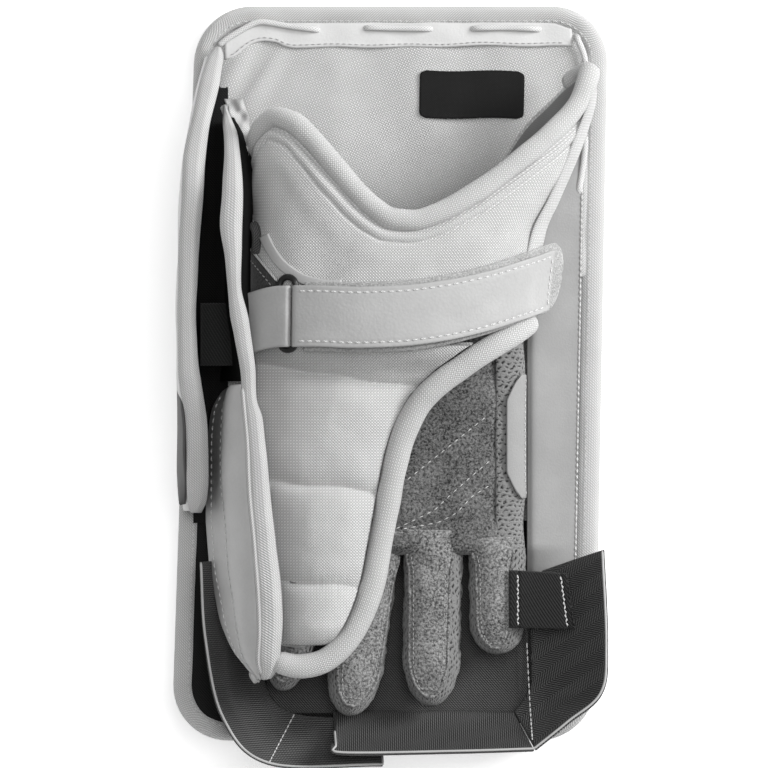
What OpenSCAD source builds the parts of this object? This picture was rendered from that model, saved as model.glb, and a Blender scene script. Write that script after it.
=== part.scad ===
// Ice-hockey goalie blocker, right hand, lying on its strike face.
// Millimetres. +Z points away from the strike face, +Y towards the cuff.
// The origin is the centre of the strike face.

/* [Board] */
// Width of the board
board_w = 176; // [170:1:178]
// Length of the board along the hand
board_h = 309; // [306:1:312]
// Radius of the board's corners
board_corner = 24; // [18:1:30]
// Sideways lean of the board's middle line, per millimetre of length
board_lean = 0.0255; // [0.0235:0.001:0.0275]
// Thickness of the foam core
core_t = 16; // [15.5:0.5:16.5]
// Width of the binding's lip on the back of the board
band_w = 7.5; // [6.5:0.5:8]

/* [Cuff] */
// Thickness of the padded cuff wall
cuff_t = 7; // [6:0.5:7]
// Height of the cuff's middle above the strike face
cuff_z = 52; // [52:0.5:53]
// Half of the cuff's outer height
cuff_rz = 32; // [32:0.5:33]
// Diameter of the padded roll along the cuff's mouth
cuff_roll_d = 8.4; // [7.5:0.1:8.6]

/* [Strap] */
// Width of the wrist strap
strap_w = 25.8; // [24:0.2:26]
// Thickness of the strap's synthetic leather
strap_t = 1.7; // [1.4:0.1:1.8]
// Wire diameter of the oval ring
ring_wire = 2.6; // [2.2:0.1:2.8]

/* [Hand] */
// Height of the inside of the palm above the strike face
palm_z = 44; // [43.6:0.2:44.2]
// Wall thickness of the finger stalls
stall_t = 1.4; // [1.2:0.1:1.6]
// Diameter of the thumb guard's padded roll
thumb_roll_d = 9.4; // [8.6:0.1:9.6]
// Thickness of the thumb guard's quilted cover
quilt_t = 5; // [4:0.5:5]

/* [Hidden] */

// Thicknesses of the board's layers
cover_t = 2;
stiffener_t = 2;
liner_t = 2;
lip_t = 2;
binding_t = 3;
foam_z = cover_t + stiffener_t;
liner_z = foam_z + core_t;
back_z = liner_z + liner_t;
lip_z = back_z + lip_t;
gap = 0.3;

// ---- Shared functions ----

function mix(a, b, t) = a + (b - a) * t;
function unit(v) = v / norm(v);

// A smooth curve through hand-chosen points, with n steps in each span.
function curve_at(p, i, t) = let (
    last = len(p) - 1,
    a = p[max(i - 1, 0)], b = p[i], c = p[i + 1], d = p[min(i + 2, last)]
) 0.5 * (2 * b + (c - a) * t + (2 * a - 5 * b + 4 * c - d) * t * t
    + (3 * b - a - 3 * c + d) * t * t * t);
function smooth(p, n) = concat(
    [for (i = [0:len(p) - 2]) for (k = [0:n - 1]) curve_at(p, i, k / n)],
    [p[len(p) - 1]]
);

// Outline of a rounded rectangle that leans sideways and spreads towards the fingers, inset by d.
board_x = 1;
board_spread = 0.000085;
function board_outline(d) = let (
    r = board_corner - d, hx = board_w / 2 - board_corner, hy = board_h / 2 - board_corner
) [for (q = [0:3]) for (k = [0:9]) let (
    a = q * 90 + k * 10, sx = (q == 0 || q == 3) ? 1 : -1, sy = q < 2 ? 1 : -1,
    y = sy * hy + r * sin(a) + board_y
) [(sx * hx + r * cos(a)) * (1 - board_spread * y) + board_lean * y + board_x, y]];
board_y = 4.8;

// A closed solid between two grids of points, the upper one first.
module slab(top, bottom) {
    ni = len(top);
    nj = len(top[0]);
    n = ni * nj;
    m = ni - 1;
    k = nj - 1;
    polyhedron(
        points = concat([for (row = top) each row], [for (row = bottom) each row]),
        faces = concat(
            [for (i = [0:m - 1], j = [0:k - 1]) each let (a = i * nj + j, b = a + nj) [
                [a, a + 1, b + 1], [a, b + 1, b],
                [n + a, n + b + 1, n + a + 1], [n + a, n + b, n + b + 1]
            ]],
            [for (j = [0:k - 1]) each let (a = j, b = m * nj + j) [
                [a + 1, a, n + a], [a + 1, n + a, n + a + 1],
                [b, b + 1, n + b + 1], [b, n + b + 1, n + b]
            ]],
            [for (i = [0:m - 1]) each let (a = i * nj, b = a + nj, c = a + k, d = b + k) [
                [a, b, n + b], [a, n + b, n + a],
                [d, c, n + c], [d, n + c, n + d]
            ]]
        ),
        convexity = 8
    );
}

// A closed solid through a row of rings with the same number of points.
module loft(rings) {
    ns = len(rings[0]);
    nr = len(rings);
    middle = function (ring) [for (c = [0:2]) [for (p = ring) p[c]] * [for (p = ring) 1] / ns];
    start = nr * ns;
    last = (nr - 1) * ns;
    polyhedron(
        points = concat([for (r = rings) each r], [middle(rings[0]), middle(rings[nr - 1])]),
        faces = concat(
            [for (i = [0:nr - 2], j = [0:ns - 1]) each let (
                a = i * ns + j, b = i * ns + (j + 1) % ns
            ) [[a, b + ns, b], [a, a + ns, b + ns]]],
            [for (j = [0:ns - 1]) [start, j, (j + 1) % ns]],
            [for (j = [0:ns - 1]) [start + 1, last + (j + 1) % ns, last + j]]
        ),
        convexity = 8
    );
}

// A round cord or roll of radius r along a row of points.
function tangent(p, i) = unit(p[min(i + 1, len(p) - 1)] - p[max(i - 1, 0)]);
module cord(p, r, sides = 8) {
    loft([for (i = [0:len(p) - 1]) let (
        t = tangent(p, i), s = unit(cross(t, [0, 0, 1])), u = cross(s, t)
    ) [for (k = [0:sides - 1]) let (a = -360 * k / sides) p[i] + r * (s * cos(a) + u * sin(a))]]);
}

// ---- Board ----

module board_layer(inset, z, t) {
    translate([0, 0, z]) linear_extrude(t) polygon(board_outline(inset));
}

module face_cover() {
    color("#e6e6e6") board_layer(binding_t, 0, cover_t);
}

module stiffener_sheet() {
    color("#c8c8c8") board_layer(binding_t, cover_t, stiffener_t);
}

module board_foam() {
    color("#8c8c8c") board_layer(binding_t, foam_z, core_t);
}

module back_liner() {
    color("#e2e2e2") board_layer(binding_t, liner_z, liner_t);
}

module edge_band() {
    color("#f0f0f0") {
        difference() {
            board_layer(0, 0, back_z);
            board_layer(binding_t, -1, back_z + 2);
        }
        difference() {
            board_layer(0, back_z, lip_t);
            board_layer(band_w, back_z - 1, lip_t + 2);
        }
    }
}

// Leather tape along the top, with its turned-down left end.
tape_t = 1.6;
module lace_tape() {
    color("#d8d8d8") translate([0, 0, back_z]) linear_extrude(tape_t)
        polygon([
            [-62, 150.5], [70, 150.5], [75, 148], [77, 143],
            [-66, 143], [-69, 138], [-73, 140], [-70, 145]
        ]);
}

// The top lace goes over the tape, down through it and up again.
lace_r = 1.2;
lace_over = back_z + tape_t + lace_r;
lace_under = back_z - 1.5;
top_lace_route = smooth([
    [-71.5, 144.5, lace_over], [-62, 149, lace_over], [-53.5, 149.5, lace_over],
    [-43, 148, lace_over], [-33, 147, lace_over], [-27, 147, lace_under],
    [-17, 147, lace_under], [-10.5, 147.5, lace_over], [2, 147.2, lace_over],
    [14.5, 146.8, lace_over], [20, 146.8, lace_under], [31, 146.8, lace_under],
    [36.5, 147, lace_over], [47, 147, lace_over], [58, 147, lace_over],
    [64, 147, lace_under], [72, 147, lace_under]
], 3);
module top_lace() {
    color("#efefef") cord(top_lace_route, lace_r);
}

side_lace_route = smooth([
    [78, 148, lace_under], [79, 145, lip_z + lace_r], [81, 140, lip_z + lace_r],
    [82, 136, lip_z + lace_r], [82, 131.5, lace_under], [81, 120, lace_under],
    [80.5, 107, lace_under], [82, 103, lip_z + lace_r], [81.5, 95, lip_z + lace_r],
    [80.5, 88, lip_z + lace_r], [79.5, 82, lip_z + lace_r], [79, 77, lace_under]
], 3);
module side_lace() {
    color("#efefef") cord(side_lace_route, lace_r);
}

label_size = [44, 20];
label_r = 2.5;
module size_label() {
    color("#161616") translate([34.4, 122, back_z]) rotate([0, 0, 1.5]) linear_extrude(0.6)
        offset(r = label_r) square(label_size - [2 * label_r, 2 * label_r], center = true);
}

// ---- Little-finger side of the hand compartment ----

side_pad_ends = [-68, 62];
// Cross-section of the pad: outer foot, upper edge, inner foot.
module side_pad_section(inset) {
    polygon([
        [77 - inset * 3, 0], [77 - inset * 2, 1.5 - inset], [62, 15 - inset],
        [57.5 + inset, 15 - inset], [57.5 + inset, 0]
    ]);
}
module side_pad(inset) {
    translate([0, side_pad_ends[1] - inset, back_z]) rotate([90, 0, 0])
        linear_extrude(side_pad_ends[1] - side_pad_ends[0] - 2 * inset) side_pad_section(inset);
}

module side_pad_foam() {
    color("#9a9a9a") side_pad(1.3);
}

module side_leather_panel() {
    color("#b9b9b9") difference() {
        side_pad(0);
        translate([0, 0, -0.01]) side_pad(1.2);
    }
}

// ---- Glove ----

hand_pad_t = 3.5;
module hand_pad() {
    color("#a0a0a0") translate([0, 0, back_z]) linear_extrude(hand_pad_t)
        polygon([[-40, 58], [50, 58], [56, 30], [56, -66], [-40, -66], [-46, -20], [-46, 30]]);
}

back_mesh_t = 1;
glove_z = back_z + hand_pad_t;
module back_mesh() {
    color("#3a3a3a") translate([0, 0, glove_z]) linear_extrude(back_mesh_t)
        polygon([[-38, 24], [43, 24], [53, -30], [53, -66], [-38, -66]]);
}

// The palm is a shallow arch over the hand, with rolled sides.
palm_t = 1.6;
palm_left = -40;
palm_right = 45;
palm_top = 26;
palm_foot = -68;
function palm_point(u, y, up) = let (
    x = mix(palm_left, palm_right, u), crown = 2.2 * sin(180 * u)
) [x, y, palm_z + crown + up];
module palm_suede() {
    rows = [for (i = [0:12]) i / 12];
    ys = [for (j = [0:10]) mix(palm_foot, palm_top, j / 10)];
    color("#5c5c5c") slab(
        [for (u = rows) [for (y = ys) palm_point(u, y, palm_t)]],
        [for (u = rows) [for (y = ys) palm_point(u, y, 0)]]
    );
}

// Knit gusset from the palm's edge down to the side pad and the liner.
function gusset_point(a, y, out) = [
    palm_right + 0.2 + (8 + out) * sin(a), y, palm_z - 8 + (8 + out) * cos(a)
];
module side_gusset() {
    turns = [for (i = [0:8]) i * 15];
    ys = [palm_foot, 24];
    color("#9a9a9a") slab(
        [for (a = turns) [for (y = ys) gusset_point(a, y, 1.6)]],
        [for (a = turns) [for (y = ys) gusset_point(a, y, 0)]]
    );
}

module trim_tab() {
    turns = [for (i = [0:4]) 12 + i * 16];
    ys = [-47, 4];
    color("#e8e8e8") slab(
        [for (a = turns) [for (y = ys) gusset_point(a, y, 2.9)]],
        [for (a = turns) [for (y = ys) gusset_point(a, y, 1.9)]]
    );
}

// ---- Cuff ----

// The cuff is an open arch; an angle of 90 degrees is its crown, 0 its right side.
cuff_left_x = -59;
function cuff_right_x(y) = lookup(y, [
    [20, 59], [35, 60], [63, 64], [77, 70], [101, 80], [118, 85], [136, 87]
]);
function cuff_point(a, y, depth) = let (
    r = cuff_right_x(y), cx = (r + cuff_left_x) / 2, rx = (r - cuff_left_x) / 2 - depth
) [cx + rx * cos(a), y, cuff_z + (cuff_rz - depth) * sin(a)];
cuff_from = -54;
cuff_to = 214;
// Mouth of the cuff: how far it reaches at each angle.
function mouth_y(a) = lookup(a, [
    [-54, 90], [-48, 112], [-38, 123], [-26, 131], [-12, 134.5], [0, 134], [8, 130], [18, 121],
    [32, 109.5], [46, 97.5], [58, 86.5], [66, 80.5], [75, 75], [84, 72.2], [92, 72.8],
    [100, 77], [108, 83.5], [118, 93.5], [133, 108], [141, 113.2], [151, 115.2],
    [162, 112], [175, 106], [190, 100], [214, 92]
]);
function foot_y(a) = lookup(a, [[-54, 60], [-20, 46], [10, 30], [50, 22], [90, 17.5], [214, 17.5]]);
// The wall stops short of the roll by the roll's own diameter, measured square to the mouth.
function wall_end_y(a) = let (
    rise = (mouth_y(a + 3) - mouth_y(a - 3)) / norm(cuff_point(a + 3, 100, 0) - cuff_point(a - 3, 100, 0)),
    reach = cuff_roll_d / 2 + (cuff_roll_d / 2 + 2 * gap) * min(sqrt(1 + rise * rise), 3)
) max(mouth_y(a) - reach, foot_y(a) + 6);
module cuff_layer(depth_out, depth_in, angles, from = 0, to = 1) {
    ts = [for (j = [0:6]) mix(from, to, j / 6)];
    at = function (a, t, d) cuff_point(a, mix(foot_y(a), wall_end_y(a), t), d);
    // Angles fall from left to right, so that x rises along the grid.
    slab(
        [for (a = angles) [for (t = ts) at(a, t, depth_out)]],
        [for (a = angles) [for (t = ts) at(a, t, depth_in)]]
    );
}
cuff_angles = [for (i = [0:38]) mix(cuff_to, cuff_from, i / 38)];
shell_t = 1.2;
lining_t = 1.2;

module cuff_shell() {
    color("#e9e9e9") cuff_layer(0, shell_t, cuff_angles);
}

module cuff_foam() {
    color("#9c9c9c") cuff_layer(shell_t, cuff_t - lining_t, cuff_angles);
}

module cuff_lining() {
    color("#8f8f8f") cuff_layer(cuff_t - lining_t, cuff_t, cuff_angles);
}

roll_angles = [for (i = [0:44]) mix(cuff_to - 4, -20, i / 44)];
module cuff_roll() {
    color("#f0f0f0") cord([for (a = roll_angles)
        cuff_point(a, mouth_y(a) - cuff_roll_d / 2, cuff_t / 2)
    ], cuff_roll_d / 2, 10);
}

module cuff_side_strip() {
    angles = [for (i = [0:4]) mix(22, 2, i / 4)];
    color("#dcdcdc") cuff_layer(-2 * gap - 1.2, -2 * gap, angles, 0.46, 0.9);
}

// ---- Wrist strap ----

strap_path = [
    [-58, 24.2], [-41.4, 28.3], [-29, 28.4], [-13, 27.8], [2.5, 28.3],
    [19, 30.4], [35, 34.2], [50.5, 39.6], [60.6, 43.5], [71, 47]
];
function strap_y(x) = lookup(x, strap_path);
// Past its last angle on the cuff the strap runs straight on, off the cuff and over the side pad.
leave_angle = 25;
mm_per_degree = 0.656;
leave_way = unit([59 * sin(leave_angle), 0, -cuff_rz * cos(leave_angle)]);
function strap_point(a, y, up) =
    cuff_point(max(a, leave_angle), y, -up) + leave_way * max(0, leave_angle - a) * mm_per_degree;
// A band over the cuff's outside, between two heights above it.
module band(a_from, a_to, low, high, w, steps = 14) {
    angles = [for (i = [0:steps]) mix(a_from, a_to, i / steps)];
    at = function (a, side, up) strap_point(a, strap_y(strap_point(a, 30, 0)[0]) + side * w / 2, up);
    slab(
        [for (a = angles) [for (s = [-1, -0.5, 0, 0.5, 1]) at(a, s, high)]],
        [for (a = angles) [for (s = [-1, -0.5, 0, 0.5, 1]) at(a, s, low)]]
    );
}
ring_low = 0.4;
strap_low = ring_low + ring_wire + gap + 1;
ring_centre_y = 29.5;
ring_left_x = -46;
ring_right_x = -38.4;
function arch_z(x) = let (cx = (59.5 + cuff_left_x) / 2, rx = (59.5 - cuff_left_x) / 2)
    cuff_z + cuff_rz * sqrt(1 - pow((x - cx) / rx, 2));
ring_mid_x = (ring_left_x + ring_right_x) / 2;
ring_tilt = atan((arch_z(ring_right_x) - arch_z(ring_left_x)) / (ring_right_x - ring_left_x));
ring_z = arch_z(ring_mid_x) + (ring_low + ring_wire / 2 + 0.9);

// The sewn-down end of the strap, which loops over the ring's left bar.
module strap_tab() {
    color("#cfcfcf") band(155, 138, strap_low, strap_low + strap_t, strap_w - 0.6, 5);
}

// Fuzzy loop side of the closure, sewn round the cuff.
module loop_strap() {
    color("#c2c2c2") band(126, -14, gap + 0.2, 2, strap_w + 4);
}

module strap_leather() {
    color("#cfcfcf") band(126, 9, strap_low, strap_low + strap_t, strap_w);
}

hook_t = 0.8;
module hook_patch() {
    color("#3c3c3c") band(86, 11, strap_low - 0.2 - hook_t, strap_low - 0.2, strap_w - 6);
}

// Oval wire ring: two bars and two half rounds.
module ring_turn(r) {
    rotate_extrude(angle = 180, $fn = 48) translate([r, 0]) circle(d = ring_wire, $fn = 24);
}
module strap_ring() {
    bar = strap_w / 2 + 0.9 - (ring_right_x - ring_left_x) / 2 + ring_wire / 2;
    r = (ring_right_x - ring_left_x) / 2;
    color("#101010") translate([ring_mid_x, ring_centre_y, ring_z]) rotate([0, -ring_tilt, 0]) {
        for (s = [-1, 1]) {
            translate([s * r, bar, 0]) rotate([90, 0, 0]) cylinder(d = ring_wire, h = 2 * bar, $fn = 24);
            translate([0, s * bar, 0]) rotate([0, 0, s > 0 ? 0 : 180]) ring_turn(r);
        }
    }
}

// Black elastic that joins the side panel to the sewn-down end of the strap.
anchor_z = 56;
module strap_anchor() {
    color("#101010") translate([-78.6, 8, anchor_z]) cube([17.4, 26, 2]);
}

module felt_patch() {
    turns = [for (i = [0:4]) mix(176, 156, i / 4)];
    top = function (a) mix(44, 57, (a - 156) / 20);
    color("#4a4a4a") slab(
        [for (a = turns) [for (t = [0, 0.5, 1]) cuff_point(a, mix(42, top(a), t), -1.5)]],
        [for (a = turns) [for (t = [0, 0.5, 1]) cuff_point(a, mix(42, top(a), t), -gap)]]
    );
}

// ---- Walls on the thumb side ----

// A standing wall: at each y its foot, its top edge and its height are looked up.
wall_foot_z = 25.4;
function wall_point(shape, y, t, off) = [
    mix(lookup(y, shape[0]), lookup(y, shape[1]), t) + off, y,
    mix(lookup(y, shape[3]), lookup(y, shape[2]), t)
];
// The layer's right face comes first; it is the upper one of the slab.
module wall_layer(shape, y_from, y_to, left, right, steps = 14, low = 0, high = 1) {
    ys = [for (j = [0:steps]) mix(y_to, y_from, j / steps)];
    ts = [for (i = [0:6]) mix(low, high, i / 6)];
    slab(
        [for (t = ts) [for (y = ys) wall_point(shape, y, t, right)]],
        [for (t = ts) [for (y = ys) wall_point(shape, y, t, left)]]
    );
}
// The band stands clear of the top edge by its own radius, measured square to that edge.
module wall_band(shape, y_from, y_to, r, steps = 30) {
    cord([for (j = [0:steps]) let (
        y = mix(y_to, y_from, j / steps),
        rise = (lookup(y + 3, shape[2]) - lookup(y - 3, shape[2])) / 6
    ) wall_point(shape, y, 1, 0) + [0, 0, (r + gap) * min(sqrt(1 + rise * rise), 1.9)]], r, 10);
}

// Outer panel: foot x, top x, top z and foot z along y.
outer_panel = [
    [[-54, -83], [0, -84.5], [60, -84], [110, -80], [140, -73]],
    [[-54, -79.5], [-30, -80.5], [0, -83], [30, -84], [60, -83.4], [90, -81], [115, -78.5], [140, -73]],
    [[-54, 38], [-40, 50], [-15, 58], [30, 62], [80, 60], [110, 50], [130, 38], [140, 31]],
    [[-54, wall_foot_z], [140, wall_foot_z]]
];
panel_ends = [-54, 139];
panel_half = 3.6;
panel_skin = 1.2;
module panel_layer(left, right) {
    wall_layer(outer_panel, panel_ends[0], panel_ends[1], left, right);
}

module side_panel_foam() {
    color("#9c9c9c") panel_layer(-panel_half + panel_skin, panel_half - panel_skin);
}

module side_panel_cover() {
    color("#e4e4e4") panel_layer(-panel_half, -panel_half + panel_skin);
}

module side_panel_lining() {
    color("#141414") panel_layer(panel_half - panel_skin, panel_half);
}

module side_panel_patch() {
    color("#555555") wall_layer(outer_panel, -50, 0, -panel_half - gap - 1, -panel_half - gap, 8, 0.3, 0.96);
}

module side_panel_band() {
    color("#f2f2f2") wall_band(outer_panel, panel_ends[0], panel_ends[1], 4.4);
}

// Inner wall: its upper part stands beside the cuff, its lower part is the thumb plate.
inner_wall = [
    [
        [-114, -59], [-106, -65], [-86, -70.5], [-66, -73.5], [-46, -74.5],
        [-20, -73], [0, -70.5], [20, -68], [118, -66.5]
    ],
    [
        [-114, -50], [-86, -50.5], [-60, -52], [-40, -54], [-10, -57.5], [0, -58.6],
        [20, -62.2], [45, -64], [75, -65.4], [100, -65.6], [118, -67]
    ],
    [[-114, 62], [-100, 68], [-70, 71], [-30, 71], [0, 71], [40, 71], [75, 69], [95, 60], [108, 47], [118, 33]],
    [[-114, 52], [-104, 46], [-84, 36.4], [-62, 30.6], [-40, 27.5], [118, wall_foot_z]]
];
wall_half = 2.4;
wall_skin = 1.1;
guard_y = 0;
slot_from = 4;
slot_to = 38;
module upper_wall(left, right) {
    difference() {
        wall_layer(inner_wall, guard_y + gap, 117, left, right);
        translate([-90, slot_from, anchor_z - 3]) cube([40, slot_to - slot_from, 8]);
    }
}

module inner_wall_foam() {
    color("#9c9c9c") upper_wall(-wall_half + wall_skin, wall_half - wall_skin);
}

module inner_wall_cover() {
    color("#e4e4e4") upper_wall(-wall_half, -wall_half + wall_skin);
}

module inner_wall_lining() {
    color("#1c1c1c") upper_wall(wall_half - wall_skin, wall_half);
}

module inner_wall_band() {
    color("#f2f2f2") wall_band(inner_wall, guard_y + gap, 117, 3.9, 18);
}

// ---- Thumb guard ----

thumb_foot = -113;
module guard_layer(left, right) {
    wall_layer(inner_wall, thumb_foot, guard_y - gap, left, right);
}

module thumb_plate_foam() {
    color("#9c9c9c") guard_layer(-wall_half + wall_skin, wall_half);
}

module thumb_plate_cover() {
    color("#d6d6d6") guard_layer(-wall_half, -wall_half + wall_skin);
}

module thumb_band() {
    color("#f2f2f2") wall_band(inner_wall, thumb_foot - 1, guard_y - gap, 3.9, 18);
}

// The padded roll that ends the quilt, from the seam below the strap round the thumb's tip.
roll_z = 64;
thumb_roll_route = smooth([
    [15.5, -4, 70], [10.5, -10.5, 68.5], [5.5, -21, 67], [2, -34, 66], [-1, -50, roll_z + 1],
    [-4, -66, roll_z], [-7, -82, roll_z], [-12, -96, roll_z], [-18.5, -107, roll_z],
    [-27, -114.5, roll_z], [-36, -117.2, roll_z], [-44, -117, roll_z + 1]
], 4);
module thumb_roll() {
    color("#f0f0f0") cord(thumb_roll_route, thumb_roll_d / 2, 10);
}

// Quilted cover between the thumb plate's band and the roll.
quilt_from = -2.4;
quilt_to = -109;
function quilt_left(y) = lookup(y, inner_wall[1]) + 4.4;
function quilt_right(y) = lookup(y, [[-112, -30], [-107, -24.5], [-96, -17.5], [-82, -12.6], [-66, -9.4],
    [-50, -6.4], [-34, -3.4], [-21, 0], [-10.5, 4.4], [-2, 9]]);
function quilt_point(u, y, down) = let (
    x = mix(quilt_left(y), quilt_right(y), u), z = mix(72, 69, u) + 5.5 * sin(180 * u)
) [x, y, z - down];
module thumb_quilt() {
    us = [for (i = [0:10]) i / 10];
    ys = [for (j = [0:18]) mix(quilt_to, quilt_from, j / 18)];
    color("#e9e9e9") slab(
        [for (u = us) [for (y = ys) quilt_point(u, y, 0)]],
        [for (u = us) [for (y = ys) quilt_point(u, y, quilt_t)]]
    );
}

// Padded skirt between the cuff's foot and the thumb guard's first seam, with its own roll.
skirt_ends = [-53, 21];
skirt_top_y = 17.2;
skirt_seam_y = guard_y + gap;
function skirt_low_y(x) = lookup(x, [[6, skirt_seam_y], [12, 5.2], [17, 10], [21, 13.4]]);
function skirt_low_z(x) = x < 9 ? quilt_point((x + 54) / 63, -2, 0)[2] : mix(69, 74, (x - 9) / 12);
function skirt_point(x, t, down) = let (s = t * t * (3 - 2 * t)) [
    x, mix(skirt_low_y(x), skirt_top_y, t), mix(skirt_low_z(x), arch_z(x) - 0.5, s) - down
];
module cuff_skirt() {
    xs = [for (i = [0:10]) mix(skirt_ends[0], skirt_ends[1], i / 10)];
    ts = [for (j = [0:6]) j / 6];
    color("#e9e9e9") slab(
        [for (x = xs) [for (t = ts) skirt_point(x, t, 0)]],
        [for (x = xs) [for (t = ts) skirt_point(x, t, quilt_t)]]
    );
}

module skirt_roll() {
    color("#f0f0f0") cord(smooth([
        [43.5, 16.6, 70], [36, 11.6, 70.5], [29, 6.6, 71], [22.6, 1.6, 70.8], [18.6, -1.4, 70.4]
    ], 4), thumb_roll_d / 2, 10);
}

// ---- Finger and thumb stalls ----

// A stall is a blunt tube: root and tip are the ends of its middle line, w and h its width and height.
stall_steps = [0, 0.16, 0.34, 0.52, 0.68, 0.8, 0.89, 0.95, 0.985, 1];
function stall_girth(t) = t < 0.68 ? 1 - 0.05 * t : 0.966 * sqrt(max(0.02, 1 - pow((t - 0.68) / 0.325, 2)));
function stall_point(root, tip, w, h, t, a, in) = let (
    d = tip - root, side = unit(cross(d, [0, 0, 1])), g = stall_girth(t)
) root + d * t + side * ((w / 2 - in) * g * cos(a)) + [0, 0, (h / 2 - in) * g * sin(a)];
module stall_body(root, tip, w, h, in, start = 0, sides = 16) {
    long = norm(tip - root);
    end = root + (tip - root) * (1 - in / long);
    loft([for (t = stall_steps) [for (k = [0:sides - 1])
        stall_point(t == 0 ? root - unit(tip - root) * start : root, end, w, h, t, -360 * k / sides, in)
    ]]);
}
module stall(root, tip, w, h) {
    difference() {
        stall_body(root, tip, w, h, 0);
        stall_body(root, tip, w, h, stall_t, 1);
    }
}
// Suede face over the palm side of a stall.
module stall_face(root, tip, w, h) {
    ts = [0.02, 0.2, 0.4, 0.6, 0.74, 0.84, 0.9];
    angles = [for (i = [0:6]) mix(35, 145, i / 6)];
    slab(
        [for (a = angles) [for (t = ts) stall_point(root, tip, w, h, t, 180 - a, -1.2)]],
        [for (a = angles) [for (t = ts) stall_point(root, tip, w, h, t, 180 - a, -gap)]]
    );
}

// Root, tip, width and height of each stall.
index_at = [[-30.5, -69, 34.5], [-46, -128, 34.5], 19.6, 15.4];
middle_at = [[-8, -69, 37.2], [-17.5, -138.5, 37.2], 24.4, 21];
ring_at = [[18.2, -69, 37.6], [17, -134.5, 37.6], 24.8, 21.6];
little_at = [[44.6, -69, 37], [45, -112.8, 37], 23.8, 20.4];
thumb_at = [[-30, -8, 59], [-34, -108, 58], 25, 19];

module index_stall() {
    color("#9a9a9a") stall(index_at[0], index_at[1], index_at[2], index_at[3]);
}

module index_face() {
    color("#6f6f6f") stall_face(index_at[0], index_at[1], index_at[2], index_at[3]);
}

module middle_stall() {
    color("#9a9a9a") stall(middle_at[0], middle_at[1], middle_at[2], middle_at[3]);
}

module middle_face() {
    color("#6f6f6f") stall_face(middle_at[0], middle_at[1], middle_at[2], middle_at[3]);
}

module ring_stall() {
    color("#9a9a9a") stall(ring_at[0], ring_at[1], ring_at[2], ring_at[3]);
}

module ring_face() {
    color("#6f6f6f") stall_face(ring_at[0], ring_at[1], ring_at[2], ring_at[3]);
}

module little_stall() {
    color("#9a9a9a") stall(little_at[0], little_at[1], little_at[2], little_at[3]);
}

module little_face() {
    color("#6f6f6f") stall_face(little_at[0], little_at[1], little_at[2], little_at[3]);
}

module thumb_stall() {
    color("#6a6a6a") stall(thumb_at[0], thumb_at[1], thumb_at[2], thumb_at[3]);
}

// ---- Finger tray ----

tray_z = back_z + 0.2;
tray_t = 1.6;
// Each wall runs from a foot line on the floor to a rim line.
module tray_wall(foot, rim) {
    ts = [for (j = [0:5]) j / 5];
    sag = function (t) [0, 0, -5 * sin(180 * t)];
    slab(
        [for (i = [0:len(foot) - 1]) [for (t = ts) mix(foot[i], rim[i], t) + sag(t) + [0, 0, tray_t]]],
        [for (i = [0:len(foot) - 1]) [for (t = ts) mix(foot[i], rim[i], t) + sag(t)]]
    );
}
floor_outline = [[-52, -69], [58, -69], [58, -128], [50, -136], [-40, -136], [-52, -126]];
module tray_floor() {
    color("#2b2b2b") translate([0, 0, tray_z]) linear_extrude(tray_t) polygon(floor_outline);
}

right_foot = smooth([
    [52, -137, 25.6], [56, -132, 25.6], [58.8, -126, 25.6], [59, -112, 25.6], [59, -79, 25.6]
], 3);
right_rim = smooth([
    [60, -151.5, 48], [74, -140.2, 49], [87.4, -128.5, 50], [90, -108, 51], [87.6, -70, 50]
], 3);
module tray_right_wall() {
    color("#2e2e2e") tray_wall(right_foot, right_rim);
}

front_foot = [[-24, -136.6, 25.6], [0, -136.8, 25.6], [25, -136.8, 25.6], [51.2, -137.2, 25.6]];
front_rim = [[-22.6, -152.6, 49], [0, -153.2, 50], [28, -152.4, 49.5], [59, -151.4, 48]];
module tray_front_wall() {
    color("#2e2e2e") tray_wall(front_foot, front_rim);
}

left_foot = smooth([
    [-52.6, -72, 25.6], [-52.6, -100, 25.6], [-52, -126, 25.6], [-40, -138, 25.2], [-4, -139.8, 24.6]
], 3);
left_rim = smooth([
    [-79, -74, 33], [-77, -106, 37], [-69.5, -139, 42], [-50.5, -157.8, 41], [-3, -158.6, 38]
], 3);
module tray_left_wall() {
    color("#2e2e2e") tray_wall(left_foot, left_rim);
}

piping_r = 0.9;
function raised(p) = [for (q = p) q + [0, 0, tray_t + piping_r + 0.1]];
module tray_piping() {
    color("#d8d8d8") {
        cord(raised(right_rim), piping_r, 6);
        cord(raised(left_rim), piping_r, 6);
    }
}

// Elastic from the little finger's stall to the tray's right wall.
elastic_t = 1.6;
elastic_line = [[50.5, 49.2], [55, 48.4], [60, 47], [66, 45.8], [71.5, 45]];
module finger_elastic() {
    color("#101010") slab(
        [for (p = elastic_line) [[p[0], -101.5, p[1]], [p[0], -76, p[1]]]],
        [for (p = elastic_line)
            [[p[0], -101.5, p[1] - elastic_t], [p[0], -76, p[1] - elastic_t]]]
    );
}

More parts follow.
